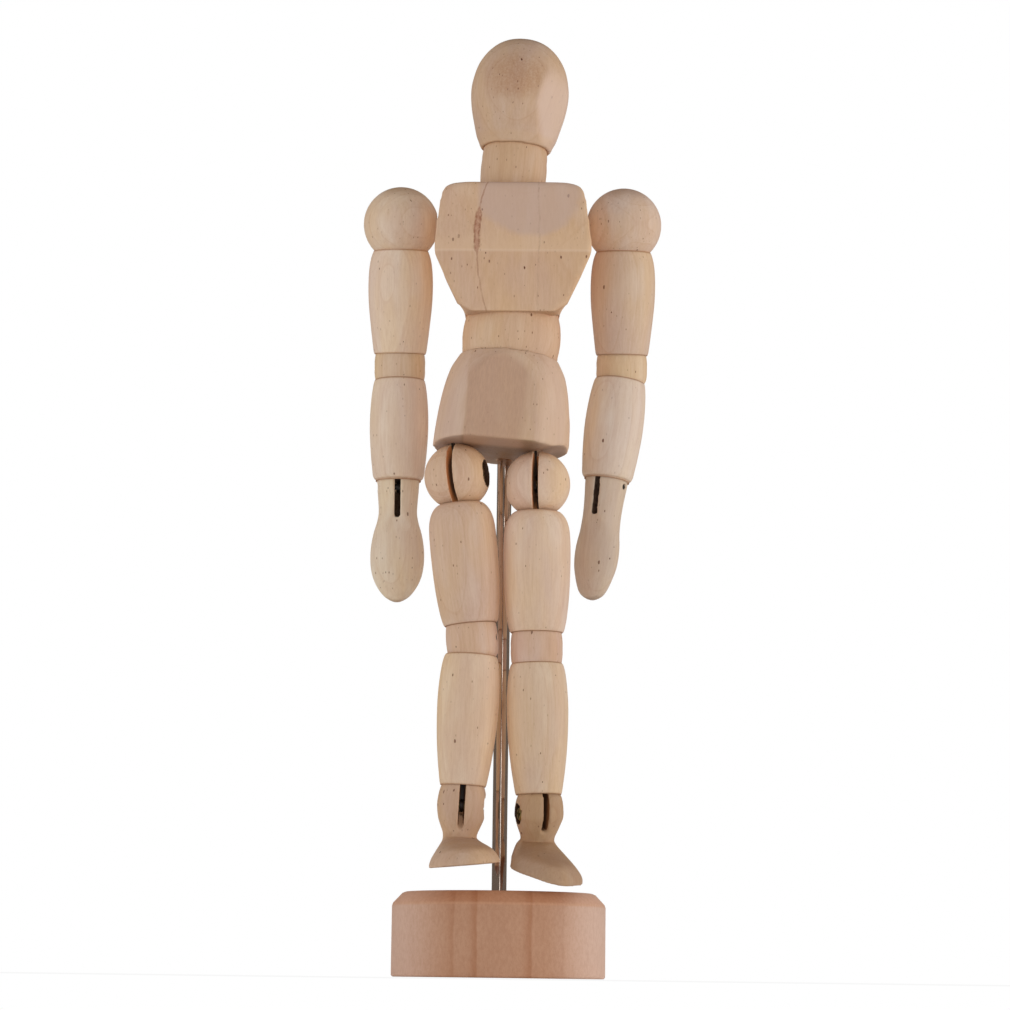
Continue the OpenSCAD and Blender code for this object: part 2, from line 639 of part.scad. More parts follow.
module thigh(s) {
  c = c_hip(s);
  h = hip_z;
  k = knee_z;
  color(wood) at_thigh(s) difference() {
    translate([c[0], c[1], 0]) turned([[h - 8.7, 6.2], [h - 9.1, 7.4], [h - 10.4, 8.7], [h - 12.6, 9.8], [h - 16, 10.45], [h - 22, 10.65],
      [h - 30, 10.5], [h - 37, 10.1], [k + 9.5, 9.45], [k + 6.6, 8.9], [k + 5.3, 8.5], [k + 4.8, 8.0]]);
    translate(c) sphere(r = hip_r + gap, $fn = 96);
    translate(c_knee(s)) sphere(r = knee_R + gap, $fn = 96);
    translate([c[0], c[1], k]) cylinder(r = bore_r, h = h - k);
  }
}

module thigh_spring(s) {
  c = c_hip(s);
  top = hip_z - 13;
  bot = knee_z + 11.4;
  color(steel) at_thigh(s) translate([c[0], c[1], 0]) union() {
    translate([0, 0, hip_z]) rotate([180, 0, 0]) eye(0.7, 2.9, 1.65, 13.6, 2.6, 0.5);
    plug(top - 1.4, 1.4);
    coil(bot + 0.7, top - 0.7);
    plug(bot, 1.4);
    translate([0, 0, knee_z]) eye(0.9, 2.2, 1.2, 12, 2.4, -0.85);
  }
}

module knee_barrel(s) {
  rr = sqrt(knee_R * knee_R - knee_rim_h * knee_rim_h);
  color(wood2) at_knee(s) difference() {
    translate(c_knee(s)) barrel(knee_r, rr, knee_rim_h, knee_R, 0);
    hinge_room(c_knee(s), knee_R, 32, 32, 4.6);
  }
}

module knee_pin(s) {
  color(steel) at_knee(s) at_x(c_knee(s)) cylinder(r = 1, h = 15.6, center = true);
}

module shin(s) {
  c = c_knee(s);
  k = knee_z;
  a = ankle_z;
  color(wood) at_shin(s) difference() {
    translate([c[0], c[1], 0]) turned([[k - 4.8, 7.9], [k - 5.6, 8.4], [k - 8, 8.95], [k - 12, 9.4], [k - 18, 9.7], [k - 25, 9.55],
      [k - 32, 9.1], [a + 14, 8.45], [a + 9.5, 7.8], [a + 7, 7.4], [a + 6.1, 7.15]]);
    translate(c) sphere(r = knee_R + gap, $fn = 96);
    translate(c_ankle(s)) sphere(r = ankle_R + gap, $fn = 96);
    translate([c[0], c[1], a + 12.6]) cylinder(r = bore_r, h = k - a - 12.6);
    translate([c[0], c[1], a]) cylinder(r = 1.6, h = k - a);
  }
}

module shin_spring(s) {
  c = c_knee(s);
  top = knee_z - 11.4;
  bot = ankle_z + 13;
  color(steel) at_shin(s) translate([c[0], c[1], 0]) union() {
    translate([0, 0, knee_z]) rotate([180, 0, 0]) eye(0.9, 2.2, 1.25, 12, 2.4, 0.85);
    plug(top - 1.4, 1.4);
    coil(bot + 0.5, top - 0.7);
    cap(bot, 1.2, 1.05);
  }
}

module ankle_link(s) {
  color(steel) at_ankle_link(s) translate(c_ankle(s)) union() {
    eye(1.3, 2.1, 1.35, 10.8, 2.2);
    translate([0, 0, 10.6]) cylinder(r = 0.9, h = 5.8);
    translate([0, 0, 15]) cylinder(r = 1.3, h = 1.4);
  }
}

// Outline of a shoe, heel to toe, half as wide as spread + r over the ball of the foot
module shoe(spread, r) {
  hull() {
    translate([0, 3]) circle(r = r - 0.6, $fn = 32);
    for (x = [-spread, spread]) translate([x, -14]) circle(r = r, $fn = 32);
    translate([0, -18.8]) circle(r = r, $fn = 32);
  }
}

module foot(s) {
  c = c_ankle(s);
  rr = sqrt(ankle_R * ankle_R - ankle_rim_h * ankle_rim_h);
  // the bell of the shoe is sawn off askew, more so on the left, and the left neck sits higher
  sole = s == L ? -16 : -18.8;
  lean = s == L ? 11 : -8;
  tip = s == L ? 4 : 0;
  shift = s == L ? 2.4 : -0.6;
  spread = s == L ? 5.2 : 4.4;
  neck = s == L ? -7.8 : -9.6;
  low = s == L ? -5.8 : -8.4;
  toe = s == L ? -6.3 : -5.7;
  rise = s == L ? -5.2 : -3;
  shelf = s == L ? -4.2 : -3.2;
  color(wood2) at_foot(s) translate(c) difference() {
    union() {
      turned([[ankle_rim_h, rr], [4, 7.3], [1.5, 7.65], [-0.6, 7.7], [neck + 5.6, 7.2], [neck + 3.2, 6.35], [neck + 1.4, 5.6], [neck, 5.3], [neck - 3, 5.3]]);
      intersection() {
        sphere(r = ankle_R, $fn = 96);
        translate([0, 0, 20 + ankle_rim_h - 0.01]) cube([40, 40, 40], center = true);
      }
      hull() {
        rotate([0, lean, 0]) rotate([tip, 0, 0]) translate([shift, 0, sole]) {
          linear_extrude(2.2) shoe(spread, 6.6);
          translate([-shift / 3, 1.4, 4.6]) linear_extrude(0.6) shoe(spread - 1.2, 5.2);
          if (s == L) translate([-shift / 2, -9.5, 4]) sphere(r = 4.6, $fn = 32);
        }
        translate([0, 0, neck - 1]) cylinder(r = 5.1, h = 0.6, $fn = 32);
      }
    }
    at_x([0, 0, 0]) cylinder(r = 2.5, h = slot_w, center = true);
    // saw cut for the link, with a ramp where the blade ran out
    rotate([90, 0, 90]) linear_extrude(slot_w, center = true) polygon([[-16, low], [toe, low], [rise, shelf], [4.8, shelf], [4.8, 24], [-16, 24]]);
    rotate([0, s * -90, 0]) {
      translate([0, 0, -6]) cylinder(r = 1.25, h = 20);
      translate([0, 0, 5]) cylinder(r = 3.1, h = 20);
    }
  }
}

module ankle_screw(s) {
  color(zinc) at_foot(s) translate(c_ankle(s)) rotate([0, s * -90, 0]) cross_screw(2.4, 1.6, 1.15, 5.05, 10.6);
}

// ---------------------------------------------------------------- nodes

base();
support_rod();
pelvis();
waist_link();
waist_barrel();
waist_pins();
chest();
spine_spring();
shoulder_spring();
neck_link();
neck_barrel();
neck_pins();
head();
head_link();

shoulder_ball(R);  // right_shoulder_ball
shoulder_hook(R);  // right_shoulder_hook
arm_link(R);  // right_arm_link
upper_arm(R);  // right_upper_arm
upper_arm_spring(R);  // right_upper_arm_spring
elbow_barrel(R);  // right_elbow_barrel
elbow_pin(R);  // right_elbow_pin
forearm(R);  // right_forearm
forearm_spring(R);  // right_forearm_spring
hand(R);  // right_hand
hand_pin(R);  // right_hand_pin

shoulder_ball(L);  // left_shoulder_ball
shoulder_hook(L);  // left_shoulder_hook
arm_link(L);  // left_arm_link
upper_arm(L);  // left_upper_arm
upper_arm_spring(L);  // left_upper_arm_spring
elbow_barrel(L);  // left_elbow_barrel
elbow_pin(L);  // left_elbow_pin
forearm(L);  // left_forearm
forearm_spring(L);  // left_forearm_spring
hand(L);  // left_hand
hand_pin(L);  // left_hand_pin

hip_link(R);  // right_hip_link
hip_ball(R);  // right_hip_ball
hip_screw(R);  // right_hip_screw
thigh(R);  // right_thigh
thigh_spring(R);  // right_thigh_spring
knee_barrel(R);  // right_knee_barrel
knee_pin(R);  // right_knee_pin
shin(R);  // right_shin
shin_spring(R);  // right_shin_spring
ankle_link(R);  // right_ankle_link
foot(R);  // right_foot
ankle_screw(R);  // right_ankle_screw

hip_link(L);  // left_hip_link
hip_ball(L);  // left_hip_ball
hip_screw(L);  // left_hip_screw
thigh(L);  // left_thigh
thigh_spring(L);  // left_thigh_spring
knee_barrel(L);  // left_knee_barrel
knee_pin(L);  // left_knee_pin
shin(L);  // left_shin
shin_spring(L);  // left_shin_spring
ankle_link(L);  // left_ankle_link
foot(L);  // left_foot
ankle_screw(L);  // left_ankle_screw
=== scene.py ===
import json
import math

import bmesh
import bpy
import numpy as np
from mathutils import Euler, Matrix, Vector
from mathutils.bvhtree import BVHTree

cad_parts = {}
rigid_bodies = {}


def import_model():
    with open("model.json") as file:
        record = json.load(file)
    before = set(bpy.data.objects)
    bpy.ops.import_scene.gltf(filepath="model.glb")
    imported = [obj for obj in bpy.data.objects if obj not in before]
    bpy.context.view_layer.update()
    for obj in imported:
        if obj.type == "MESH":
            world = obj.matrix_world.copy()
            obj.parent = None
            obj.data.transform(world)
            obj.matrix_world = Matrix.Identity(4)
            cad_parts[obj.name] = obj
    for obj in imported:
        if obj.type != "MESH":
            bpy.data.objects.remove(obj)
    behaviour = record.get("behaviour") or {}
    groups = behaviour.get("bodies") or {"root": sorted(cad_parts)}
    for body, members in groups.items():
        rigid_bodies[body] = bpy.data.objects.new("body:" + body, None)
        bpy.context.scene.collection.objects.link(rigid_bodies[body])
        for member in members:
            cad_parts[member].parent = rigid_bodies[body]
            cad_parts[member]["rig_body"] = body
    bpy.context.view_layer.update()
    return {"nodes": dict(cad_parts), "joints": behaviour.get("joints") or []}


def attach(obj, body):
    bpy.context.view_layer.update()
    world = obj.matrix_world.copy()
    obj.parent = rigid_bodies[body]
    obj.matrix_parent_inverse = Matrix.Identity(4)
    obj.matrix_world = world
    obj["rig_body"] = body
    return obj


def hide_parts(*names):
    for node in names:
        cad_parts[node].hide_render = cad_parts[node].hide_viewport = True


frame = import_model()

NODES = frame["nodes"]
BODY = {n: o["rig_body"] for n, o in NODES.items()}
JOINT = {j["name"]: j for j in frame["joints"]}
MM = 0.001
SCENE = bpy.context.scene


# ------------------------------------------------------------------ frames of the pieces

def jpos(name):
    return Vector(JOINT[name]["pos_m"])


def jaxis(name):
    return Vector(JOINT[name]["axis"]).normalized()


def basis(origin, z, x):
    """A piece's own frame: z runs up along the grain, x to the figure's left, in metres."""
    z = z.normalized()
    if z.z < 0:
        z = -z
    x = (x - z * x.dot(z)).normalized()
    if x.x < 0:
        x = -x
    y = z.cross(x)
    m = Matrix((x, y, z)).transposed().to_4x4()
    m.translation = origin
    return m


X, Y, Z = Vector((1, 0, 0)), Vector((0, 1, 0)), Vector((0, 0, 1))
FRAMES = {
    "base": basis(Vector((0, 0, 0)), Z, X),
    "support_rod": basis(Vector((0, 0, 0)), Z, X),
    "pelvis": basis(jpos("waist_turn"), jaxis("waist_turn"), jaxis("waist_bend")),
    "waist_barrel": basis(jpos("waist_bend"), jaxis("waist_bend").cross(jaxis("chest_lean")), jaxis("waist_bend")),
    "chest": basis(jpos("chest_lean"), jaxis("neck_turn"), X),
    "neck_barrel": basis(jpos("neck_lean"), jaxis("head_nod").cross(jaxis("neck_lean")), jaxis("head_nod")),
    "head": basis(jpos("head_nod"), jaxis("head_nod").cross(jaxis("neck_lean")), jaxis("head_nod")),
}
for s in ("right", "left"):
    sh, el, wr = jpos(s + "_arm_swing"), jpos(s + "_elbow_bend"), jpos(s + "_hand_bend")
    hp, kn, an = jpos(s + "_hip_swing"), jpos(s + "_knee_bend"), jpos(s + "_foot_bend")
    FRAMES[s + "_shoulder_ball"] = basis(sh, sh - el, X)
    FRAMES[s + "_upper_arm"] = basis(sh, sh - el, jaxis(s + "_elbow_bend"))
    FRAMES[s + "_elbow_barrel"] = basis(el, sh - el, jaxis(s + "_elbow_bend"))
    FRAMES[s + "_forearm"] = basis(el, el - wr, jaxis(s + "_forearm_bend"))
    FRAMES[s + "_hand"] = basis(wr, el - wr, jaxis(s + "_hand_bend"))
    FRAMES[s + "_hip_ball"] = basis(hp, jaxis(s + "_hip_turn"), jaxis(s + "_hip_swing"))
    FRAMES[s + "_thigh"] = basis(hp, hp - kn, jaxis(s + "_knee_bend"))
    FRAMES[s + "_knee_barrel"] = basis(kn, hp - kn, jaxis(s + "_knee_bend"))
    FRAMES[s + "_shin"] = basis(kn, kn - an, jaxis(s + "_shin_bend"))
    across = jaxis(s + "_foot_bend")
    across = across if across.x > 0 else -across
    tipped = Matrix.Rotation(math.radians(13 if s == "left" else 2), 3, across)
    FRAMES[s + "_foot"] = basis(an, tipped @ jaxis(s + "_foot_turn"), across)


# ------------------------------------------------------------------ mesh helpers

def coords(me):
    co = np.empty(len(me.vertices) * 3)
    me.vertices.foreach_get("co", co)
    return co.reshape(-1, 3)


def edges_of(me):
    e = np.empty(len(me.edges) * 2, dtype=np.int32)
    me.edges.foreach_get("vertices", e)
    return e.reshape(-1, 2)


def around(val, e):
    """Mean of the neighbours of each vertex."""
    n = len(val)
    deg = np.bincount(e.ravel(), minlength=n).astype(float)
    deg[deg == 0] = 1
    if val.ndim == 1:
        return (np.bincount(e[:, 0], val[e[:, 1]], n) + np.bincount(e[:, 1], val[e[:, 0]], n)) / deg
    out = np.empty_like(val)
    for a in range(val.shape[1]):
        out[:, a] = (np.bincount(e[:, 0], val[e[:, 1], a], n) + np.bincount(e[:, 1], val[e[:, 0], a], n)) / deg
    return out


def relax(co, e, rounds):
    for _ in range(rounds):
        co = co + 0.5 * (around(co, e) - co)
        co = co - 0.52 * (around(co, e) - co)
    return co


def to_local(co, m):
    r = np.array(m.to_3x3())
    return (co - np.array(m.translation)) @ r / MM


def to_world(p, m):
    r = np.array(m.to_3x3())
    return p * MM @ r.T + np.array(m.translation)


def normals_of(me):
    no = np.empty(len(me.vertices) * 3)
    me.vertices.foreach_get("normal", no)
    return no.reshape(-1, 3)


def put_attr(me, name, val):
    at = me.attributes.new(name, "FLOAT", "POINT")
    at.data.foreach_set("value", np.ascontiguousarray(val, dtype=np.float32))


def wear(me, co, step, slotted=False):
    """Marks rounded outer edges for lighter yellow wear and a painted highlight, and inner corners and saw-cut walls
    for painted shade. A slotted piece has the floor of its cut marked too.
    """
    e = edges_of(me)
    no = normals_of(me)
    curv = -((around(co, e) - co) * no).sum(1) / step
    for _ in range(3):
        curv = around(curv, e)
    put_attr(me, "edge", np.clip(curv * 9, 0, 1))
    put_attr(me, "shade_in_hollows", np.clip(-curv * 9, 0, 1))
    polys = [tuple(p.vertices) for p in me.polygons]
    tree = BVHTree.FromPolygons([tuple(v) for v in co], polys)
    deep = np.zeros(len(co))
    for i, (p, n) in enumerate(zip(co, no)):
        n = Vector(n)
        hit = tree.ray_cast(Vector(p) + n * 5e-5, n, 2.6e-3)
        if hit[0] is not None:
            deep[i] = 1
        elif slotted:
            t = n.orthogonal().normalized()
            u = n.cross(t)
            for k in range(4):
                w = (t * math.cos(k * math.pi / 4) + u * math.sin(k * math.pi / 4)) * 1.2
                if all(tree.ray_cast(Vector(p) + n * 5e-5, (n + w * g).normalized(), 2.2e-3)[0] is not None for g in (1, -1)):
                    deep[i] = 1
                    break
    put_attr(me, "sawn", 0.5 * deep + 0.5 * around(deep, e))


def add_piece(name, me, node):
    ob = bpy.data.objects.new(name, me)
    SCENE.collection.objects.link(ob)
    me.shade_smooth()
    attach(ob, BODY[node])
    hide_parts(node)
    return ob


def ramp(v, a, b):
    t = np.clip((v - a) / (b - a), 0, 1)
    return t * t * (3 - 2 * t)


def eased(node, step, rounds, shape=None, soften=None):
    """The node's solid with its edges eased, as sanding leaves them. step is the mesh size in mm."""
    me = NODES[node].data.copy()
    bm = bmesh.new()
    bm.from_mesh(me)
    bmesh.ops.remove_doubles(bm, verts=bm.verts, dist=2e-6)
    bm.to_mesh(me)
    bm.free()
    tmp = bpy.data.objects.new("tmp", me)
    SCENE.collection.objects.link(tmp)
    mod = tmp.modifiers.new("remesh", "REMESH")
    mod.mode = "VOXEL"
    mod.voxel_size = step * MM
    bpy.context.view_layer.update()
    out = bpy.data.meshes.new_from_object(tmp.evaluated_get(bpy.context.evaluated_depsgraph_get()))
    bpy.data.objects.remove(tmp)
    bpy.data.meshes.remove(me)
    e = edges_of(out)
    co = relax(coords(out), e, rounds)
    m = FRAMES[node]
    if shape:
        co = to_world(shape(to_local(co, m)), m)
    if soften:
        weight, times = soften(to_local(co, m))
        for _ in range(times):
            co = co + (0.5 * weight)[:, None] * (around(co, e) - co)
    out.vertices.foreach_set("co", co.ravel())
    out.update()
    out.name = node + "_mesh"
    out.materials.clear()
    wear(out, co, step * MM, node.endswith(("_hand", "_hip_ball")))
    return add_piece(node + "_wood", out, node)


def spline(pts, n):
    """Smooth curve through given points."""
    p = [np.array(q, float) for q in pts]
    out = []
    for i in range(len(p) - 1):
        a, b, c, d = p[max(i - 1, 0)], p[i], p[i + 1], p[min(i + 2, len(p) - 1)]
        for k in range(n):
            t = k / n
            out.append(0.5 * (2 * b + (c - a) * t + (2 * a - 5 * b + 4 * c - d) * t ** 2 + (3 * b - a - 3 * c + d) * t ** 3))
    out.append(p[-1])
    return out


def arc(cz, rad, r0, r1, sign, n):
    """Points of a spherical seat about height cz, from radius r0 to r1."""
    return [(cz + sign * math.sqrt(rad * rad - r * r), r) for r in np.linspace(r0, r1, n)]


def rounded(loop, size):
    """Cuts every sharp corner of a closed outline with a small curve."""
    p = [np.array(q, float) for q in loop]
    out = []
    n = len(p)
    for i in range(n):
        a, b, c = p[i - 1], p[i], p[(i + 1) % n]
        u, v = a - b, c - b
        lu, lv = np.linalg.norm(u), np.linalg.norm(v)
        bend = math.acos(max(-1, min(1, float(np.dot(u, v)) / (lu * lv))))
        if bend > math.radians(150):
            out.append(b)
            continue
        k = min(size, lu * 0.45, lv * 0.45)
        q0, q1 = b + u / lu * k, b + v / lv * k
        for t in (0, 0.25, 0.5, 0.75, 1):
            out.append((1 - t) ** 2 * q0 + 2 * t * (1 - t) * b + t ** 2 * q1)
    return out


def thinned(loop, least):
    out = [loop[0]]
    for q in loop[1:]:
        if np.linalg.norm(np.array(q) - np.array(out[-1])) > least:
            out.append(q)
    return out


def turned(node, loop, seg, slot="wood", step=0.8):
    """A closed outline of (height, radius) in mm, turned about the piece's own axis."""
    m = FRAMES[node]
    bm = bmesh.new()
    rings = []
    a = [2 * math.pi * k / seg for k in range(seg)]
    for z, r in loop:
        if r < 1e-6:
            rings.append([bm.verts.new((0, 0, z))])
        else:
            rings.append([bm.verts.new((r * math.cos(t), r * math.sin(t), z)) for t in a])
    for i in range(len(rings)):
        p, q = rings[i], rings[(i + 1) % len(rings)]
        for k in range(seg):
            j = (k + 1) % seg
            if len(p) == 1 and len(q) == 1:
                continue
            if len(p) == 1:
                bm.faces.new((p[0], q[j], q[k]))
            elif len(q) == 1:
                bm.faces.new((p[k], p[j], q[0]))
            else:
                bm.faces.new((p[k], p[j], q[j], q[k]))
    bmesh.ops.recalc_face_normals(bm, faces=bm.faces)
    me = bpy.data.meshes.new(node + "_mesh")
    bm.to_mesh(me)
    bm.free()
    co = to_world(coords(me), m)
    me.vertices.foreach_set("co", co.ravel())
    me.update()
    return me


# ------------------------------------------------------------------ pieces

GAP = 0.25
BORE = 3.0


def limb(node, length, outer, r_top, r_low, narrow=None):
    """A turned limb between two seats. Heights run down from the upper joint, and narrow is where the bore steps in."""
    pts = [(-t, r) for t, r in spline(outer, 5)]
    top, low = pts[0][1], pts[-1][1]
    seat_low = arc(-length, r_low + GAP, low - 0.05, BORE, 1, 9)
    seat_top = arc(0, r_top + GAP, BORE, top - 0.05, -1, 9)
    inner = []
    if narrow:
        z, side = narrow
        if side == "top":
            seat_top = arc(0, r_top + GAP, 1.6, top - 0.05, -1, 10)
            inner = [(-z, BORE), (-z, 1.6)]
        else:
            seat_low = arc(-length, r_low + GAP, low - 0.05, 1.6, 1, 10)
            inner = [(-z, 1.6), (-z, BORE)]
    loop = thinned(pts + seat_low + inner + seat_top, 0.06)
    loop = rounded(loop, 0.4)
    me = turned(node, loop, 88)
    co = coords(me)
    p = to_local(co, FRAMES[node])
    rad = np.hypot(p[:, 0], p[:, 1])
    rims = np.zeros(len(p))
    for z, r in (pts[0], pts[-1]):
        rims = np.maximum(rims, np.exp(-((p[:, 2] - z) ** 2 + (rad - r) ** 2) / 0.5))
    # painted shade: the seats inside the piece's outline are darkened, as the gap to the next piece shades them
    up, low = -p[:, 2], length + p[:, 2]
    seat = np.maximum(np.exp(-((np.hypot(rad, up) - r_top - GAP) / 0.28) ** 2), np.exp(-((np.hypot(rad, low) - r_low - GAP) / 0.28) ** 2))
    put_attr(me, "edge", rims * (1 - seat))
    put_attr(me, "shade_in_hollows", seat * 1.5)
    put_attr(me, "sawn", np.zeros(len(p)))
    return add_piece(node + "_wood", me, node)


def paddle(slim):
    """Rounds the flat sides of a mitten hand to an oval section."""
    heights = [-38.6, -37.2, -35.8, -33.5, -30.5, -27, -23, -19, -15, -12]
    wide = [0.6, 1.8, 4.0, 5.9 - slim / 2, 7.5 - slim, 8.45 - slim, 8.75 - slim, 8.5 - slim, 7.75 - slim, 6.8 - slim / 2]
    thick = np.array([-38.4, -36, -31, -23, -15, -9]), np.array([1.2, 2.9, 4.4, 5.1, 5.3, 6.0])

    def shape(p):
        a = np.interp(p[:, 2], heights, wide)
        b = np.interp(p[:, 2], *thick)
        k = np.sqrt(1 - np.clip(np.abs(p[:, 0]) / a, 0, 0.99) ** 2)
        oval = b * k / np.minimum(b, a * k)
        out = p.copy()
        out[:, 1] = p[:, 1] * (1 + ramp(p[:, 2], -11.5, -17) * (oval - 1))
        return out

    return shape


def paddle_soft(p):
    return ramp(p[:, 2], -12, -15), 14


def shoe_soft(side):
    """Sanded round above the sawn sole, which keeps its sharp edge."""
    sole, lean, tip, neck = (-16, 11, 4, -7.8) if side == "left" else (-18.8, -8, 0, -9.6)
    a, t = math.radians(lean), math.radians(tip)
    n = np.array((math.cos(t) * math.sin(a), -math.sin(t), math.cos(t) * math.cos(a)))

    def weight(p):
        h = p @ n - sole
        return ramp(h, 0.5, 2.6) * ramp(p[:, 2], neck - 0.5, neck - 1.6), 70

    return weight


def chest_shape(p):
    """The lower side edges are sanded off behind the front plane, and its two corners are rolled up a little."""
    ax = np.abs(p[:, 0])
    high = p[:, 2] - 0.216 * (p[:, 1] + 16)
    limit = np.interp(high, [3.0, 5.0, 8.0], [15.2, 16.9, 22.0])
    cut = 0.9 * np.maximum(ax - limit, 0) * ramp(p[:, 1], -15.8, -12.5)
    out = p.copy()
    out[:, 0] = p[:, 0] - np.sign(p[:, 0]) * cut
    lift = ramp(ax, 13.4, 17.4) * ramp(p[:, 1], -8, -12.5) * 1.3
    out[:, 2] = p[:, 2] + lift * ramp(p[:, 2], 6.4, 3)
    return out


def chest_soft(p):
    top = ramp(p[:, 2], 42.5, 45.5) * ramp(p[:, 1], 2, -8)
    low = ramp(p[:, 2], 9.5, 6.0) * ramp(np.abs(p[:, 0]), 12.6, 15)
    side = ramp(np.abs(p[:, 0]), 17, 21) * ramp(p[:, 1], -9, -13) * 0.7
    return np.clip(top + low + side, 0, 1), 30


def head_shape(p):
    """The crown was parted off, which leaves a small flat."""
    out = p.copy()
    out[:, 2] = np.where(p[:, 2] > 40.2, 40.2 + (p[:, 2] - 40.2) * 0.12, p[:, 2])
    return out


def pelvis_shape(p):
    """The lower edge is sanded up a little on the left side."""
    out = p.copy()
    out[:, 2] = p[:, 2] + 2.3 * ramp(p[:, 0], 11, 18.5) * ramp(p[:, 1], -16, -6) * ramp(p[:, 2], -18, -27)
    return out


def pelvis_soft(p):
    rim = ramp(p[:, 2], -22.5, -27.0) * ramp(np.hypot(p[:, 0], p[:, 1]), 15.5, 18)
    return rim, 10


WOOD = {}
for s in ("right", "left"):
    WOOD[s + "_upper_arm"] = limb(s + "_upper_arm", 46.4, [(8.2, 8.5), (9.2, 9.1), (11.5, 9.8), (15, 10.3), (20, 10.5),
        (26, 10.3), (33, 9.6), (39, 8.9), (41.4, 8.55), (42.2, 8.2)], 12.2, 8.95, (16.2, "top"))
    WOOD[s + "_forearm"] = limb(s + "_forearm", 39.2, [(4.2, 7.9), (5, 8.3), (7.5, 8.75), (11, 9.15), (16, 9.45), (22, 9.45),
        (29, 9.0), (33.2, 8.55), (35.4, 8.3), (36.5, 7.9), (37, 7.35)], 8.95, 7.2)
    WOOD[s + "_thigh"] = limb(s + "_thigh", 52.3, [(8.7, 6.2), (9.1, 7.4), (10.4, 8.7), (12.6, 9.8), (16, 10.45), (22, 10.65),
        (30, 10.5), (37, 10.1), (42.8, 9.45), (45.7, 8.9), (47, 8.5), (47.5, 8.0)], 10.5, 9.2)
    WOOD[s + "_shin"] = limb(s + "_shin", 52, [(4.8, 7.9), (5.6, 8.4), (8, 8.95), (12, 9.4), (18, 9.7), (25, 9.55),
        (32, 9.1), (38, 8.45), (42.5, 7.8), (45, 7.4), (45.9, 7.15)], 9.2, 9, (39.4, "low"))
    WOOD[s + "_shoulder_ball"] = eased(s + "_shoulder_ball", 0.38, 3)
    WOOD[s + "_elbow_barrel"] = eased(s + "_elbow_barrel", 0.42, 4)
    WOOD[s + "_hand"] = eased(s + "_hand", 0.42, 5, paddle(1.2 if s == "left" else 0.0), paddle_soft)
    WOOD[s + "_hip_ball"] = eased(s + "_hip_ball", 0.4, 3)
    WOOD[s + "_knee_barrel"] = eased(s + "_knee_barrel", 0.42, 4)
    WOOD[s + "_foot"] = eased(s + "_foot", 0.42, 5, None, shoe_soft(s))
WOOD["pelvis"] = eased("pelvis", 0.55, 6, pelvis_shape, pelvis_soft)
WOOD["waist_barrel"] = eased("waist_barrel", 0.5, 4)
WOOD["chest"] = eased("chest", 0.55, 6, chest_shape, chest_soft)
WOOD["neck_barrel"] = eased("neck_barrel", 0.45, 4)
WOOD["head"] = eased("head", 0.5, 8, head_shape)

# the stand
base_me = turned("base", [(z, max(r, 0)) for z, r in rounded([(0, 33.2), (0.5, 33.7), (22.1, 33.7), (23.1, 33.35), (26.1, 30.5),
    (26.5, 29.5), (26.5, 2.45), (8.5, 2.45), (8.5, 0.4), (6, 0.4), (0, 0.4)], 0.5)], 160)
for n in ("edge", "shade_in_hollows", "sawn"):
    put_attr(base_me, n, np.zeros(len(base_me.vertices)))
WOOD["base"] = add_piece("base_wood", base_me, "base")
rod_me = turned("support_rod", [(z, r) for z, r in [(8.6, 0.01), (8.6, 2.0), (8.95, 2.35)] + [(z, 2.35) for z in range(12, 172, 8)]
    + [(173.8, 2.35), (182.2, 2.35), (182.6, 2.2), (182.8, 1.75), (182.8, 0.01)]], 64)
ROD = add_piece("support_rod_plated", rod_me, "support_rod")


# ------------------------------------------------------------------ materials

def lin(r, g, b):
    return (r, g, b, 1.0)


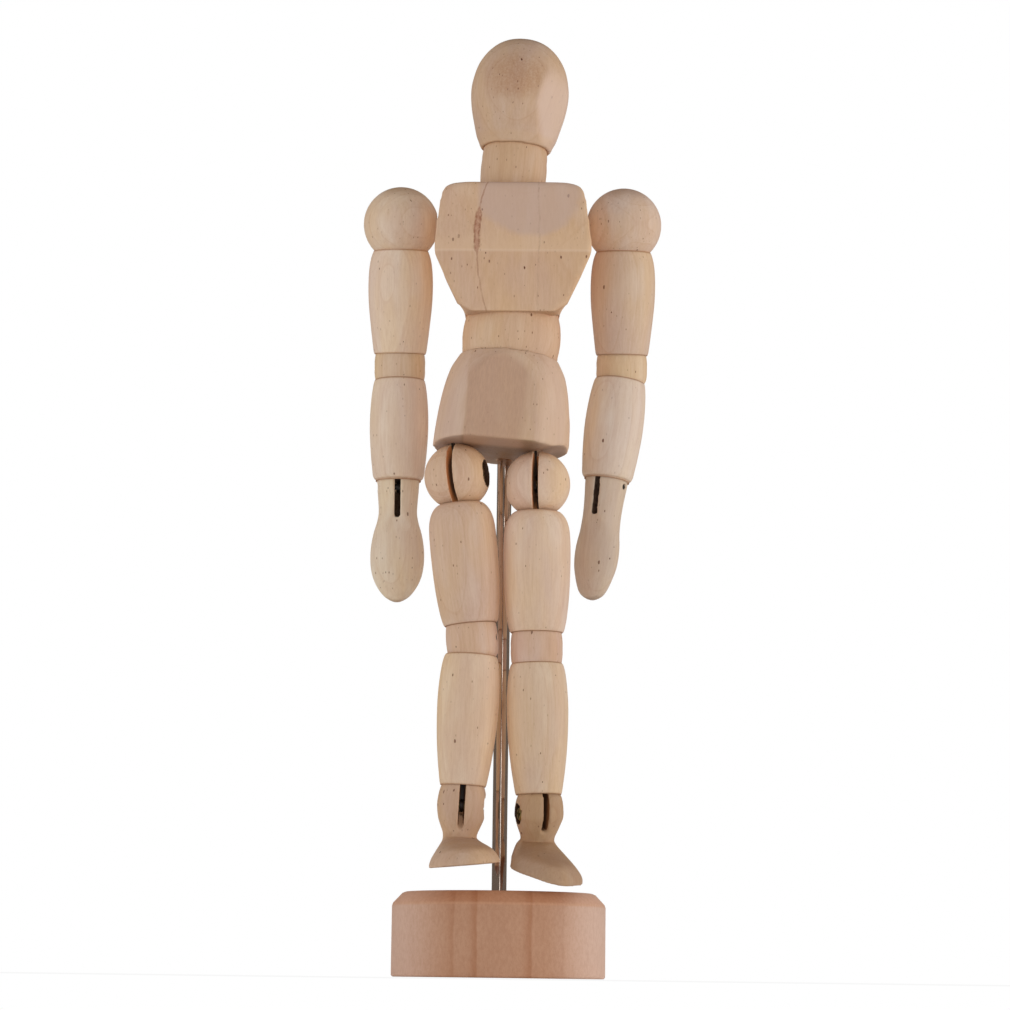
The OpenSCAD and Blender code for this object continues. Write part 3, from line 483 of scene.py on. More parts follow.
class Build:
    """Small helper to write a node tree as expressions."""

    def __init__(self, name):
        self.mat = bpy.data.materials.new(name)
        self.mat.use_nodes = True
        self.t = self.mat.node_tree
        self.t.nodes.clear()
        self.out = self.t.nodes.new("ShaderNodeOutputMaterial")
        self.bsdf = self.t.nodes.new("ShaderNodeBsdfPrincipled")
        self.t.links.new(self.bsdf.outputs[0], self.out.inputs[0])

    def node(self, kind, **kw):
        n = self.t.nodes.new(kind)
        for k, v in kw.items():
            setattr(n, k, v)
        return n

    def link(self, a, b):
        self.t.links.new(a, b)

    def feed(self, sock, v):
        if isinstance(v, bpy.types.NodeSocket):
            self.link(v, sock)
        else:
            sock.default_value = v

    def math(self, op, a, b=0.0, c=0.0, clamp=False):
        n = self.node("ShaderNodeMath", operation=op, use_clamp=clamp)
        for s, v in zip(n.inputs, (a, b, c)):
            self.feed(s, v)
        return n.outputs[0]

    def vec(self, op, a, b=(0, 0, 0)):
        n = self.node("ShaderNodeVectorMath", operation=op)
        self.feed(n.inputs[0], a)
        self.feed(n.inputs[1], b)
        return n.outputs["Value"] if op in ("LENGTH", "DOT_PRODUCT", "DISTANCE") else n.outputs[0]

    def mapped(self, v, loc=(0, 0, 0), rot=(0, 0, 0), scale=(1, 1, 1)):
        n = self.node("ShaderNodeMapping")
        self.link(v, n.inputs[0])
        n.inputs["Location"].default_value = loc
        n.inputs["Rotation"].default_value = rot
        n.inputs["Scale"].default_value = scale
        return n.outputs[0]

    def noise(self, v, scale=1.0, detail=2.0, rough=0.5, dist=0.0):
        n = self.node("ShaderNodeTexNoise")
        self.link(v, n.inputs["Vector"])
        n.inputs["Scale"].default_value = scale
        n.inputs["Detail"].default_value = detail
        n.inputs["Roughness"].default_value = rough
        n.inputs["Distortion"].default_value = dist
        return n.outputs[0]

    def cells(self, v, scale=1.0, rand=1.0):
        n = self.node("ShaderNodeTexVoronoi", feature="F1")
        self.link(v, n.inputs["Vector"])
        n.inputs["Scale"].default_value = scale
        n.inputs["Randomness"].default_value = rand
        return n.outputs["Distance"], n.outputs["Color"]

    def span(self, v, a, b, c=0.0, d=1.0, smooth=True):
        n = self.node("ShaderNodeMapRange", interpolation_type="SMOOTHSTEP" if smooth else "LINEAR")
        self.feed(n.inputs[0], v)
        for i, x in zip((1, 2, 3, 4), (a, b, c, d)):
            self.feed(n.inputs[i], x)
        return n.outputs[0]

    def mix(self, f, a, b, mode="MIX"):
        n = self.node("ShaderNodeMix", data_type="RGBA", blend_type=mode, clamp_factor=True)
        self.feed(n.inputs[0], f)
        self.feed(n.inputs[6], a)
        self.feed(n.inputs[7], b)
        return n.outputs[2]

    def split(self, v):
        n = self.node("ShaderNodeSeparateXYZ")
        self.link(v, n.inputs[0])
        return n.outputs[0], n.outputs[1], n.outputs[2]

    def join(self, x, y, z):
        n = self.node("ShaderNodeCombineXYZ")
        for s, v in zip(n.inputs, (x, y, z)):
            self.feed(s, v)
        return n.outputs[0]

    def attr(self, name):
        return self.node("ShaderNodeAttribute", attribute_name=name).outputs["Fac"]

    def colour(self, a, b):
        n = self.node("ShaderNodeSeparateColor")
        self.link(a, n.inputs[0])
        return n.outputs[b]


def local_coords(b, node, seed):
    """The piece's own millimetres: z along the grain. The same point is returned a second time, shifted by seed."""
    m = FRAMES[node]
    rt = m.to_3x3().transposed()
    tc = b.node("ShaderNodeTexCoord").outputs["Object"]
    o = -(rt @ m.translation) * 1000
    p = b.mapped(tc, loc=o, rot=rt.to_euler(), scale=(1000, 1000, 1000))
    q = b.vec("ADD", p, (seed * 37.3 + 11, seed * 53.9 - 7, seed * 71.7 + 3))
    return p, q


def wood(node, seed, warm=0.5, light=0.0, pith=(6, 40), spacing=3.4, ring=0.3, fleck=1.0, tint=(1, 1, 1), cut="round", end=(0.72, 0.62, 0.53), extra=None):
    """Pale bare hardwood, turned and sanded. pith is where the heart of the tree lies, across the grain, in mm."""
    b = Build("wood_" + node)
    p, q = local_coords(b, node, seed)
    # slow drift from yellow to pink, stretched along the grain
    drift = b.noise(b.mapped(q, scale=(0.055, 0.055, 0.014)), 1, 3, 0.55, 0.4)
    patch = b.noise(b.mapped(q, scale=(0.16, 0.16, 0.05)), 1, 2, 0.5)
    base = b.mix(b.span(drift, 0.5 - 0.2 - 0.2 * (warm - 0.5), 0.7 - 0.2 * (warm - 0.5)), lin(0.615, 0.425, 0.310), lin(0.655, 0.445, 0.268))
    base = b.mix(b.math("MULTIPLY", b.span(patch, 0.45, 0.75), 0.55), base, lin(0.690, 0.520, 0.385))
    # growth rings about the heart of the tree
    wob = b.noise(b.mapped(q, scale=(0.05, 0.05, 0.012)), 1, 2, 0.5)
    x, y, z = b.split(p)
    wx = b.math("MULTIPLY_ADD", wob, 9.0, x)
    away = b.vec("LENGTH", b.join(b.math("ADD", wx, -pith[0] - 4.5), b.math("ADD", y, -pith[1]), 0.0))
    uneven = b.noise(b.join(b.math("MULTIPLY", away, 0.35), seed * 5.1, 0.0), 1, 1, 0.5)
    phase = b.math("FRACT", b.math("MULTIPLY_ADD", uneven, 1.6, b.math("DIVIDE", away, spacing)))
    late = b.math("MULTIPLY", b.span(phase, 0.25, 0.93), b.span(phase, 1.0, 0.95))
    line = b.span(phase, 0.86, 0.95)
    line = b.math("MULTIPLY", line, b.span(phase, 1.0, 0.965))
    base = b.mix(b.math("MULTIPLY", late, 0.30 * ring), base, lin(0.80, 0.62, 0.46), "MULTIPLY")
    base = b.mix(b.math("MULTIPLY", line, 0.42 * ring), base, lin(0.74, 0.54, 0.40), "MULTIPLY")
    # fibres
    fib = b.noise(b.mapped(q, scale=(1.5, 1.5, 0.06)), 1, 4, 0.62)
    fine = b.noise(b.mapped(q, scale=(5.5, 5.5, 0.5)), 1, 3, 0.6)
    base = b.mix(b.span(fib, 0.30, 0.72, 0.0, 0.42), base, lin(0.83, 0.74, 0.66), "MULTIPLY")
    base = b.mix(b.span(fine, 0.42, 0.78, 0.0, 0.30), base, lin(0.80, 0.70, 0.62), "MULTIPLY")
    # pores and small brown flecks
    d1, c1 = b.cells(b.mapped(q, scale=(0.40, 0.40, 0.20)))
    r1 = b.span(b.math("POWER", b.colour(c1, 1), 2.2), 0.0, 1.0, 0.055, 0.17, False)
    has1 = b.math("LESS_THAN", b.colour(c1, 0), 0.72 * fleck)
    ragged = b.noise(b.mapped(q, scale=(2.4, 2.4, 1.2)), 1, 2, 0.6)
    f1 = b.math("MULTIPLY", b.span(b.math("ADD", b.math("DIVIDE", d1, r1), b.math("MULTIPLY_ADD", ragged, 0.9, -0.45)), 1.0, 0.72), has1)
    f1 = b.math("MULTIPLY", f1, b.span(b.colour(c1, 2), 0.0, 1.0, 0.55, 1.0, False))
    d2, c2 = b.cells(b.mapped(q, scale=(0.95, 0.95, 0.42)))
    has2 = b.math("LESS_THAN", b.colour(c2, 0), 0.50 * fleck)
    f2 = b.math("MULTIPLY", b.span(d2, 0.22, 0.10), has2)
    f2 = b.math("MULTIPLY", f2, b.span(b.math("POWER", b.colour(c2, 2), 3.0), 0.0, 1.0, 0.08, 0.95, False))
    base = b.mix(f2, base, lin(0.205, 0.076, 0.030))
    base = b.mix(f1, base, lin(0.125, 0.034, 0.012))
    # end grain is darker and a little redder; on the pelvis its much darker end colour is painted shade on the
    # underside
    nrm = b.node("ShaderNodeTexCoord").outputs["Normal"]
    ax = FRAMES[node].to_3x3().col[2]
    endg = b.math("ABSOLUTE", b.vec("DOT_PRODUCT", nrm, tuple(ax)))
    endg = b.span(endg, 0.62, 0.97)
    base = b.mix(b.math("MULTIPLY", endg, 0.75), base, lin(*end), "MULTIPLY")
    # edges are lighter yellow, partly polished by handling and partly a painted highlight; inner corners and the seats
    # are darkened as painted shade
    edge = b.attr("edge")
    base = b.mix(b.math("MULTIPLY", edge, 0.22), base, lin(0.68, 0.47, 0.28))
    base = b.mix(b.math("MULTIPLY", b.attr("shade_in_hollows"), 0.6, clamp=True), base, lin(0.50, 0.33, 0.22), "MULTIPLY")
    if extra:
        base = extra(b, p, q, base)
    # painted shade: saw cuts and other deep holes are painted dark brown to near black inside, darker with depth
    sawn = b.attr("sawn")
    cut_shade_mottle = b.noise(b.mapped(q, scale=(0.8, 0.8, 0.8)), 1, 3, 0.6)
    near, far = {"ball": (9.4, 5.2), "round": (6.6, 3.6), "hand": (8.4, 6.4)}[cut]
    far = b.span(b.vec("LENGTH", p if cut == "ball" else b.join(x, y, 0.0)), near, far)
    cut_shade_colour = b.mix(far, lin(0.560, 0.240, 0.090) if cut == "ball" else lin(0.340, 0.140, 0.050), lin(0.022, 0.005, 0.002) if cut == "hand" else lin(0.050, 0.017, 0.007))
    base = b.mix(b.math("MULTIPLY", b.span(sawn, 0.45, 0.75), b.span(cut_shade_mottle, 0.2, 0.8, 0.85, 1.0)), base, cut_shade_colour)
    base = b.mix(1.0, base, lin(*[(1 + light) * t for t in tint]), "MULTIPLY")
    b.link(base, b.bsdf.inputs["Base Color"])
    rough = b.math("MULTIPLY_ADD", fib, 0.16, 0.44)
    rough = b.math("ADD", rough, b.math("MULTIPLY", f1, 0.2), clamp=True)
    b.link(rough, b.bsdf.inputs["Roughness"])
    b.bsdf.inputs["Specular IOR Level"].default_value = 0.36
    high = b.math("MULTIPLY_ADD", fib, 0.6, b.math("MULTIPLY", fine, 0.35))
    high = b.math("SUBTRACT", high, b.math("MULTIPLY_ADD", f1, 1.2, b.math("MULTIPLY", f2, 0.5)))
    bump = b.node("ShaderNodeBump")
    bump.inputs["Strength"].default_value = 0.55
    bump.inputs["Distance"].default_value = 0.00008
    b.link(high, bump.inputs["Height"])
    b.link(bump.outputs[0], b.bsdf.inputs["Normal"])
    return b.mat


def base_wood(node):
    """Browner, pinker wood with a coarse sanded face and a few darker upright growth lines."""
    b = Build("base_wood")
    p, q = local_coords(b, node, 4)
    drift = b.noise(b.mapped(q, scale=(0.03, 0.03, 0.02)), 1, 3, 0.5, 0.3)
    base = b.mix(b.span(drift, 0.35, 0.65), lin(0.565, 0.308, 0.188), lin(0.610, 0.345, 0.218))
    x, y, z = b.split(p)
    wob = b.noise(b.mapped(q, scale=(0.06, 0.02, 0.06)), 1, 2, 0.5)
    wx = b.math("MULTIPLY_ADD", b.math("SUBTRACT", wob, 0.5), 3.0, x)
    for at, wide, deep in ((-6.6, 1.1, 0.65), (9.8, 1.2, 0.6), (-13.8, 1.0, 0.4), (19.5, 0.9, 0.22), (-26.0, 0.8, 0.22), (27.5, 0.8, 0.2)):
        d = b.math("SUBTRACT", wx, at)
        left = b.span(d, -wide * 4.0, 0.0)
        right = b.span(d, wide * 0.55, 0.0)
        f = b.math("MULTIPLY", b.math("POWER", left, 2.6), right)
        base = b.mix(b.math("MULTIPLY", f, deep), base, lin(0.78, 0.60, 0.46), "MULTIPLY")
    # painted light: paler towards the sides, more on the +x side, where the side lights fall
    side = b.math("ADD", b.span(wx, 13.0, 30.0), b.math("MULTIPLY", b.span(wx, -15.0, -30.0), 0.75), clamp=True)
    base = b.mix(b.math("MULTIPLY", side, 0.82), base, lin(0.780, 0.560, 0.455))
    base = b.mix(b.span(z, 21.5, 23.2, 0.0, 0.8), base, lin(0.98, 0.82, 0.70), "MULTIPLY")
    # painted highlight: a lighter orange band along the lower edge of the chamfer
    rim = b.math("MULTIPLY", b.span(z, 21.9, 22.4), b.span(z, 23.2, 22.6))
    base = b.mix(b.math("MULTIPLY", rim, 0.4), base, lin(0.70, 0.40, 0.24))
    fib = b.noise(b.mapped(q, scale=(1.1, 1.1, 0.55)), 1, 4, 0.65)
    fine = b.noise(b.mapped(q, scale=(4.0, 4.0, 1.6)), 1, 3, 0.6)
    base = b.mix(b.span(fib, 0.32, 0.72, 0.0, 0.42), base, lin(0.80, 0.68, 0.60), "MULTIPLY")
    base = b.mix(b.span(fine, 0.42, 0.78, 0.0, 0.34), base, lin(0.80, 0.68, 0.60), "MULTIPLY")
    d1, c1 = b.cells(b.mapped(q, scale=(0.16, 0.16, 0.12)))
    has1 = b.math("LESS_THAN", b.colour(c1, 0), 0.22)
    f1 = b.math("MULTIPLY", b.span(d1, 0.06, 0.025), has1)
    base = b.mix(b.math("MULTIPLY", f1, 0.6), base, lin(0.20, 0.10, 0.055))
    b.link(base, b.bsdf.inputs["Base Color"])
    b.link(b.math("MULTIPLY_ADD", fib, 0.16, 0.46), b.bsdf.inputs["Roughness"])
    b.bsdf.inputs["Specular IOR Level"].default_value = 0.36
    high = b.math("MULTIPLY_ADD", fib, 0.6, b.math("MULTIPLY", fine, 0.4))
    bump = b.node("ShaderNodeBump")
    bump.inputs["Strength"].default_value = 0.6
    bump.inputs["Distance"].default_value = 0.00010
    b.link(high, bump.inputs["Height"])
    b.link(bump.outputs[0], b.bsdf.inputs["Normal"])
    return b.mat


def metal(name, col, rough, grain, scale):
    """Plated or bare metal with fine drawn marks and slightly uneven gloss."""
    b = Build(name)
    tc = b.node("ShaderNodeTexCoord").outputs["Object"]
    n1 = b.noise(b.mapped(tc, scale=(scale, scale, scale * 0.05)), 1, 3, 0.6)
    n2 = b.noise(b.mapped(tc, scale=(140, 140, 140)), 1, 2, 0.5)
    c = b.mix(b.span(n2, 0.3, 0.75, 0.0, 0.35), lin(*col), lin(*[v * 0.78 for v in col]))
    b.link(c, b.bsdf.inputs["Base Color"])
    b.bsdf.inputs["Metallic"].default_value = 1.0
    b.link(b.math("MULTIPLY_ADD", n1, grain, rough), b.bsdf.inputs["Roughness"])
    bump = b.node("ShaderNodeBump")
    bump.inputs["Strength"].default_value = 0.15
    bump.inputs["Distance"].default_value = 0.00002
    b.link(n1, bump.inputs["Height"])
    b.link(bump.outputs[0], b.bsdf.inputs["Normal"])
    return b.mat


def screw_hole_shade(side, radius):
    """The sunk hole of a screw, its wall painted near black as painted shade inside the hole."""
    inward = 1.0 if side == "right" else -1.0

    def marks(b, p, q, base):
        x, y, z = b.split(p)
        f = b.span(b.vec("LENGTH", b.join(0.0, y, z)), radius + 0.35, radius + 0.1)
        f = b.math("MULTIPLY", f, b.span(b.math("MULTIPLY", x, inward), 3.4, 4.4))
        return b.mix(b.math("MULTIPLY", f, 0.96), base, lin(0.040, 0.016, 0.007))

    return marks


def chest_marks(b, p, q, base):
    """A brown mineral streak down the grain, a thin line beside it, a darker oval above as painted shade, and painted
    shade, light and highlight at the crease of the two planes.
    """
    x, y, z = b.split(p)
    front = b.span(y, -6.0, -11.0)
    up = b.math("SUBTRACT", z, 27.0)
    mid = b.math("MULTIPLY", up, up)
    # painted shade below the crease, a little darker, and painted light above it, yellower, where the two planes face
    # the light differently
    crease = b.math("SUBTRACT", z, 22.3)
    under = b.math("MULTIPLY", b.span(crease, 0.3, -0.3), b.span(crease, -17.0, -2.0, 0.35, 1.0))
    base = b.mix(b.math("MULTIPLY", b.math("MULTIPLY", under, front), 0.75), base, lin(0.94, 0.92, 0.91), "MULTIPLY")
    over = b.math("MULTIPLY", b.span(crease, -0.2, 0.4), b.span(crease, 9.0, 1.0))
    base = b.mix(b.math("MULTIPLY", b.math("MULTIPLY", over, front), 0.45), base, lin(0.70, 0.49, 0.31))
    # painted highlight: a lighter line along the crease
    ridge = b.math("MULTIPLY", b.span(b.math("ABSOLUTE", crease), 0.7, 0.1), front)
    base = b.mix(b.math("MULTIPLY", ridge, 0.35), base, lin(0.74, 0.55, 0.39))
    # painted shade: a darker greyish-pink oval on the upper plane, which faces up away from the light
    e = b.math("ADD", b.math("POWER", b.math("DIVIDE", b.math("SUBTRACT", x, 5.4), 17.0), 2.0), b.math("POWER", b.math("DIVIDE", b.math("SUBTRACT", z, 41.0), 14.0), 2.0))
    cloud = b.noise(b.mapped(q, scale=(0.2, 0.2, 0.2)), 1, 3, 0.6)
    oval = b.math("MULTIPLY", b.span(b.math("MULTIPLY_ADD", cloud, 0.4, e), 1.32, 0.92), front)
    base = b.mix(b.math("MULTIPLY", oval, 0.62), base, lin(0.535, 0.385, 0.318))
    # streak
    wob = b.noise(b.join(b.math("MULTIPLY", z, 0.13), 3.3, 8.1), 1, 4, 0.6)
    bow = b.math("MULTIPLY", mid, b.span(up, -4.0, 4.0, 0.0060, 0.0100))
    line = b.math("ADD", bow, b.math("MULTIPLY_ADD", wob, 2.0, -12.7))
    off = b.math("ABSOLUTE", b.math("SUBTRACT", x, line))
    swell = b.math("MULTIPLY", b.span(z, 21.0, 23.5), b.span(z, 38.0, 34.0))
    half = b.math("MULTIPLY_ADD", swell, 0.85, 0.26)
    rough = b.noise(b.mapped(q, scale=(1.3, 1.3, 0.30)), 1, 4, 0.7)
    rel = b.math("ADD", b.math("DIVIDE", off, half), b.math("MULTIPLY_ADD", rough, 1.8, -0.9))
    dark = b.math("MULTIPLY", b.span(rel, 1.25, 0.6), front)
    gaps = b.noise(b.mapped(q, scale=(0.9, 0.9, 0.55)), 1, 3, 0.7)
    held = b.math("MULTIPLY", b.math("MULTIPLY_ADD", swell, 0.30, b.span(z, 2.0, 46.0, 0.38, 0.48)), b.span(gaps, 0.30, 0.60, 0.35, 1.15))
    base = b.mix(b.math("MULTIPLY", dark, held), base, lin(0.300, 0.115, 0.055))
    core = b.math("MULTIPLY", b.math("MULTIPLY", b.span(b.math("ADD", rel, b.math("MULTIPLY_ADD", gaps, 1.4, -0.7)), 0.7, 0.1), swell), front)
    base = b.mix(b.math("MULTIPLY", core, 0.6), base, lin(0.56, 0.33, 0.22))
    side = b.math("ABSOLUTE", b.math("SUBTRACT", x, b.math("MULTIPLY_ADD", wob, 3.0, 6.6)))
    thin = b.math("MULTIPLY", b.math("MULTIPLY", b.span(side, 0.42, 0.10), front), b.span(gaps, 0.35, 0.65, 0.15, 1.0))
    return b.mix(b.math("MULTIPLY", thin, 0.26), base, lin(0.30, 0.15, 0.10))


def pelvis_marks(b, p, q, base):
    """The sanded flat in front is browner than the turned sides, with slanting sanding marks."""
    x, y, z = b.split(p)
    soft = b.noise(b.mapped(q, scale=(0.12, 0.12, 0.05)), 1, 2, 0.5)
    wx = b.math("MULTIPLY_ADD", soft, 3.0, b.math("ADD", x, 0.4))
    arch = b.math("MULTIPLY_ADD", b.math("POWER", b.math("ABSOLUTE", b.math("ADD", wx, 0.5)), 2.0), 0.075, z)
    f = b.math("MULTIPLY", b.span(wx, -10.4, -9.4), b.span(wx, 10.5, 6.5))
    f = b.math("MULTIPLY", f, b.math("MULTIPLY", b.span(y, -6.0, -11.0), b.span(arch, -3.0, -7.0)))
    slant = b.noise(b.mapped(q, rot=(0, 0.5, 0), scale=(2.4, 2.4, 0.30)), 1, 3, 0.6)
    rub = b.mix(b.span(slant, 0.3, 0.75), lin(0.545, 0.338, 0.222), lin(0.475, 0.290, 0.192))
    base = b.mix(b.math("MULTIPLY", f, 0.78), base, rub)
    left = b.math("MULTIPLY", b.span(wx, -9.8, -11.4), b.span(y, 4.0, -4.0))
    base = b.mix(b.math("MULTIPLY", left, 0.30), base, lin(0.70, 0.52, 0.42))
    # painted light: paler towards the +x side, where the light from that side falls
    pale = b.math("MULTIPLY", b.span(x, 9.0, 14.0), b.span(y, 6.0, -2.0))
    return b.mix(b.math("MULTIPLY", pale, 0.35), base, lin(0.76, 0.56, 0.42))


def head_marks(b, p, q, base):
    """End grain shows as a brown patch on the brow, and the cheek facet at +x is painted paler as painted light."""
    x, y, z = b.split(p)
    wob = b.noise(b.mapped(q, scale=(0.12, 0.12, 0.12)), 1, 3, 0.55)
    e = b.math("ADD", b.math("POWER", b.math("DIVIDE", b.math("ADD", x, 1.5), 10.5), 2.0), b.math("POWER", b.math("DIVIDE", b.math("SUBTRACT", z, 25.0), 8.5), 2.0))
    brow = b.math("MULTIPLY", b.span(b.math("MULTIPLY_ADD", wob, 0.9, e), 1.75, 0.7), b.span(y, -4.0, -9.0))
    dots = b.noise(b.mapped(q, scale=(1.6, 1.6, 1.6)), 1, 3, 0.65)
    base = b.mix(b.math("MULTIPLY", brow, b.span(dots, 0.3, 0.7, 0.25, 0.75)), base, lin(0.80, 0.66, 0.52), "MULTIPLY")
    # painted light: the cheek at +x is paler, where the light from that side falls on it
    edge = b.math("MULTIPLY_ADD", b.math("ABSOLUTE", b.math("SUBTRACT", z, 17.0)), 0.22, 4.9)
    cheek = b.math("MULTIPLY", b.span(b.math("SUBTRACT", x, edge), -0.6, 2.6), b.math("MULTIPLY", b.span(y, 6.0, -2.0), b.span(z, 34.0, 22.0)))
    base = b.mix(b.math("MULTIPLY", cheek, 0.62), base, lin(0.73, 0.545, 0.435))
    low = b.math("MULTIPLY", b.span(z, 8.6, 6.6), b.span(y, 0.0, -6.0))
    return b.mix(b.math("MULTIPLY", low, 0.35), base, lin(0.66, 0.44, 0.25))


def dress(ob, mat):
    ob.data.materials.clear()
    ob.data.materials.append(mat)


LOOK = {
    "head": dict(seed=1, warm=0.6, pith=(1, 26), spacing=3.0, ring=0.3, tint=(0.94, 0.94, 0.98), extra=head_marks),
    "neck_barrel": dict(seed=2, warm=0.8, pith=(30, 30), tint=(0.96, 0.94, 0.96)),
    "chest": dict(seed=3, warm=0.6, pith=(4, 60), ring=0.2, tint=(1.06, 1.04, 1.05), extra=chest_marks),
    "waist_barrel": dict(seed=4, warm=0.7, pith=(-20, 40), ring=0.25, tint=(1.06, 1.04, 1.02)),
    # painted shade: the pelvis's end colour is much darker, for the shade on its underside
    "pelvis": dict(seed=5, warm=0.35, pith=(4, 55), ring=0.2, tint=(1.00, 1.00, 1.02), end=(0.40, 0.33, 0.27), extra=pelvis_marks),
    "right_shoulder_ball": dict(seed=6, warm=0.7, pith=(-6, 14), spacing=2.6, ring=0.3, tint=(1.11, 1.21, 1.36)),
    "left_shoulder_ball": dict(seed=7, warm=0.6, pith=(2, -4), spacing=2.6, ring=0.3, tint=(1.05, 1.11, 1.26)),
    "right_upper_arm": dict(seed=8, warm=0.35, pith=(20, 40), fleck=0.55, tint=(1.23, 1.38, 1.57)),
    "left_upper_arm": dict(seed=9, warm=0.45, pith=(26, 30), fleck=0.55, tint=(1.05, 1.11, 1.21)),
    "right_elbow_barrel": dict(seed=10, warm=0.7, pith=(-30, 20), fleck=0.55, tint=(1.12, 1.19, 1.21)),
    "left_elbow_barrel": dict(seed=11, warm=0.7, pith=(20, 34), fleck=0.55, tint=(1.12, 1.19, 1.21)),
    "right_forearm": dict(seed=12, warm=0.35, pith=(-14, 50), fleck=0.55, tint=(1.24, 1.40, 1.55)),
    "left_forearm": dict(seed=13, warm=0.3, pith=(24, 44), fleck=0.55, tint=(1.21, 1.41, 1.62)),
    "right_hand": dict(seed=14, warm=0.55, pith=(8, 40), tint=(1.20, 1.40, 1.60), cut="hand"),
    "left_hand": dict(seed=15, warm=0.4, pith=(-16, 34), tint=(1.03, 1.17, 1.31), cut="hand"),
    "right_hip_ball": dict(seed=16, warm=0.6, pith=(14, 30), tint=(1.12, 1.12, 1.12), cut="ball", extra=screw_hole_shade("right", 4.2)),
    "left_hip_ball": dict(seed=17, warm=0.5, pith=(-20, 30), tint=(1.18, 1.24, 1.34), cut="ball", extra=screw_hole_shade("left", 4.2)),
    "right_thigh": dict(seed=18, warm=0.5, pith=(14, 36), fleck=0.55, tint=(1.08, 1.10, 1.21)),
    "left_thigh": dict(seed=19, warm=0.5, pith=(6, 30), spacing=5.0, fleck=0.55, tint=(1.19, 1.28, 1.44)),
    "right_knee_barrel": dict(seed=20, warm=0.5, pith=(22, 22), fleck=0.55, tint=(1.08, 1.08, 1.23)),
    "left_knee_barrel": dict(seed=21, warm=0.55, pith=(-26, 30), fleck=0.55, tint=(1.08, 1.08, 1.23)),
    "right_shin": dict(seed=22, warm=0.6, pith=(-12, 44), fleck=0.55, tint=(1.24, 1.31, 1.33)),
    "left_shin": dict(seed=23, warm=0.55, pith=(18, 40), fleck=0.55, tint=(1.16, 1.23, 1.27)),
    "right_foot": dict(seed=24, warm=0.5, pith=(10, 24), tint=(1.00, 0.98, 1.00), extra=screw_hole_shade("right", 3.1)),
    # painted shade: the left foot is tinted darker, for its top that faces up away from the light
    "left_foot": dict(seed=25, warm=0.5, pith=(-8, 26), tint=(0.80, 0.75, 0.69), extra=screw_hole_shade("left", 3.1)),
}
for node, kw in LOOK.items():
    dress(WOOD[node], wood(node, **kw))
dress(WOOD["base"], base_wood("base"))
dress(ROD, metal("bright_plate", (0.72, 0.60, 0.52), 0.05, 0.06, 2600))
STEEL = metal("oxidised_steel", (0.115, 0.105, 0.098), 0.42, 0.14, 1800)
# painted shade: the yellow zinc is darkened, for screws that sit in shade in their holes
ZINC = metal("yellow_zinc", (0.46, 0.35, 0.13), 0.30, 0.12, 1600)
for n, o in NODES.items():
    if o.hide_render:
        continue
    dress(o, ZINC if n.endswith("_screw") else STEEL)


# ------------------------------------------------------------------ floor, light and camera

bpy.ops.mesh.primitive_circle_add(vertices=128, radius=0.6, fill_type="NGON", location=(0, 0, -0.0002))
floor = bpy.context.object
floor.name = "floor"
fb = Build("pale_floor")
tc = fb.node("ShaderNodeTexCoord").outputs["Object"]
fn = fb.noise(fb.mapped(tc, scale=(60, 60, 60)), 1, 2, 0.5)
fb.link(fb.mix(fn, lin(0.86, 0.86, 0.86), lin(0.90, 0.90, 0.90)), fb.bsdf.inputs["Base Color"])
fb.bsdf.inputs["Roughness"].default_value = 0.8
bright = fb.node("ShaderNodeEmission")
bright.inputs[0].default_value = (1, 1, 1, 1)
bright.inputs[1].default_value = 0.98
pick = fb.node("ShaderNodeMixShader")
fb.link(fb.math("MULTIPLY", fb.node("ShaderNodeLightPath").outputs["Is Camera Ray"], 0.9), pick.inputs[0])
fb.link(fb.bsdf.outputs[0], pick.inputs[1])
fb.link(bright.outputs[0], pick.inputs[2])
fb.link(pick.outputs[0], fb.out.inputs[0])
dress(floor, fb.mat)

world = bpy.data.worlds.new("studio")
SCENE.world = world
world.use_nodes = True
wt = world.node_tree
wt.nodes.clear()
wo = wt.nodes.new("ShaderNodeOutputWorld")
seen = wt.nodes.new("ShaderNodeBackground")
seen.inputs[0].default_value = (1, 1, 1, 1)
seen.inputs[1].default_value = 1.0
lit = wt.nodes.new("ShaderNodeBackground")
lit.inputs[0].default_value = (0.97, 1.0, 1.05, 1)
gloss = wt.nodes.new("ShaderNodeBackground")
gloss.inputs[0].default_value = (1.0, 0.86, 0.76, 1)
gloss.inputs[1].default_value = 0.16


def wmath(op, a, b, c=0.0):
    n = wt.nodes.new("ShaderNodeMath")
    n.operation = op
    for sock, v in zip(n.inputs, (a, b, c)):
        if isinstance(v, bpy.types.NodeSocket):
            wt.links.new(v, sock)
        else:
            sock.default_value = v
    return n.outputs[0]


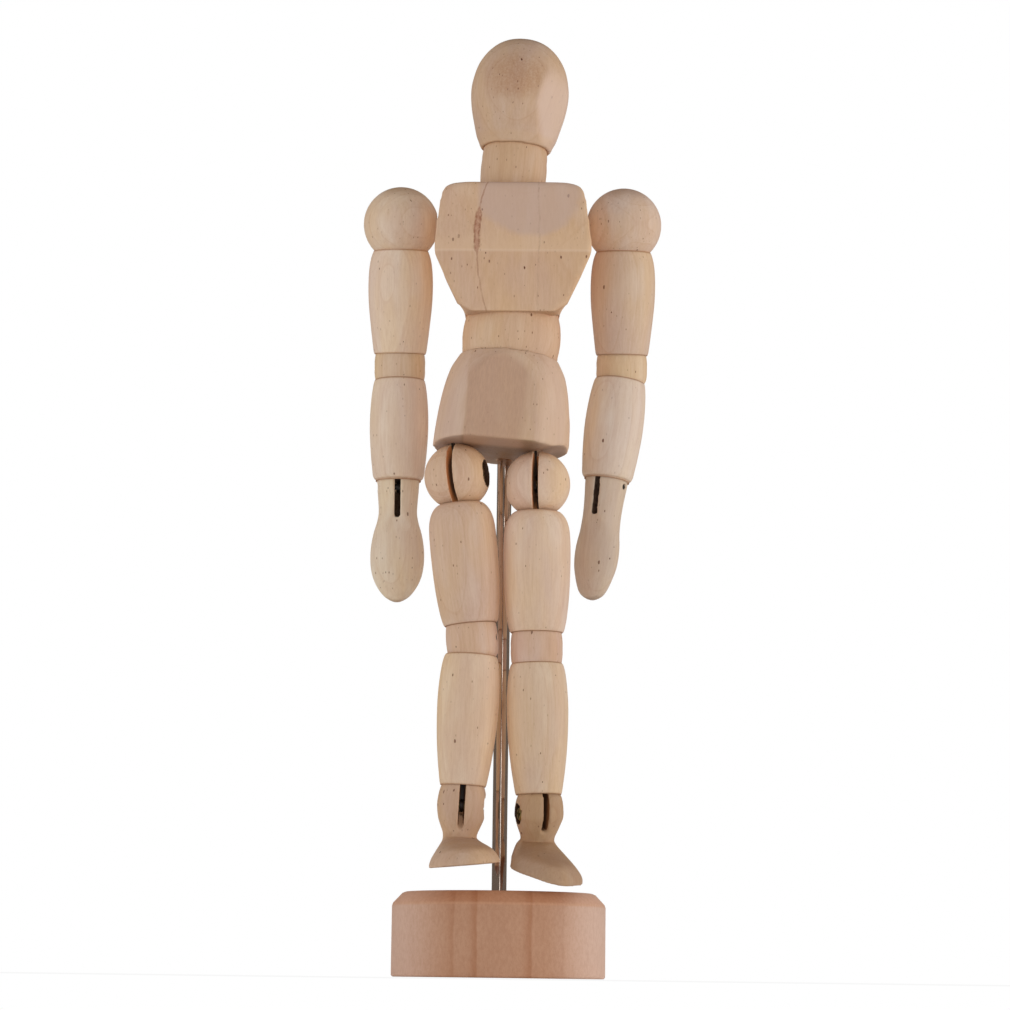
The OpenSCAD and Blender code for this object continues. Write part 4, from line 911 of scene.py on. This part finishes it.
# a light tent: sides brighter than front and back, dim overhead
way = wt.nodes.new("ShaderNodeTexCoord").outputs["Generated"]
part = wt.nodes.new("ShaderNodeSeparateXYZ")
wt.links.new(way, part.inputs[0])
dx, dy, dz = part.outputs
glow = wmath("MULTIPLY_ADD", dx, 0.04, 0.66)
glow = wmath("MULTIPLY_ADD", wmath("MULTIPLY", dx, dx), 0.08, glow)
glow = wmath("MULTIPLY_ADD", wmath("MAXIMUM", dz, 0.0), -0.34, glow)
wt.links.new(glow, lit.inputs[1])
path = wt.nodes.new("ShaderNodeLightPath")
soft = wt.nodes.new("ShaderNodeMixShader")
wt.links.new(path.outputs["Is Glossy Ray"], soft.inputs[0])
wt.links.new(lit.outputs[0], soft.inputs[1])
wt.links.new(gloss.outputs[0], soft.inputs[2])
wm = wt.nodes.new("ShaderNodeMixShader")
wt.links.new(path.outputs["Is Camera Ray"], wm.inputs[0])
wt.links.new(soft.outputs[0], wm.inputs[1])
wt.links.new(seen.outputs[0], wm.inputs[2])
wt.links.new(wm.outputs[0], wo.inputs[0])


def area(name, loc, at, size, power, col, shadow=True):
    la = bpy.data.lights.new(name, "AREA")
    la.shape = "RECTANGLE"
    la.size, la.size_y = size
    la.energy = power
    la.color = col
    la.use_shadow = shadow
    ob = bpy.data.objects.new(name, la)
    SCENE.collection.objects.link(ob)
    ob.visible_glossy = name == "strip"
    ob.location = loc
    ob.rotation_mode = "QUATERNION"
    ob.rotation_quaternion = (Vector(at) - Vector(loc)).to_track_quat("-Z", "Y")
    return ob


for open_share, shadow in ((0.48, False), (0.54, True)):
    area("key", (1.10, -0.45, 0.12), (0, 0, 0.15), (0.6, 0.8), 7.3 * open_share, (1.0, 0.93, 0.82), shadow)
    area("fill", (-1.10, -0.45, 0.12), (0, 0, 0.15), (0.6, 0.8), 5.7 * open_share, (1.0, 0.94, 0.84), shadow)
area("back", (0.20, 1.40, 0.35), (0, 0, 0.15), (0.9, 0.8), 3.6, (1.0, 0.99, 0.97))
area("strip", (0.22, -1.35, 0.10), (0, 0, 0.12), (0.10, 1.0), 0.7, (1.0, 1.0, 1.0))

cam = bpy.data.cameras.new("camera")
cam.lens = 106.36
cam.sensor_width = 36.0
cam.clip_start, cam.clip_end = 0.01, 50
co = bpy.data.objects.new("camera", cam)
SCENE.collection.objects.link(co)
co.matrix_world = Matrix.Translation((0.0003, -0.950, 0.0)) @ Matrix.Rotation(math.radians(99.008), 4, "X") @ Matrix.Rotation(math.radians(0.75), 4, "Z")
SCENE.camera = co
SCENE.view_settings.view_transform = "Standard"
SCENE.view_settings.look = "None"
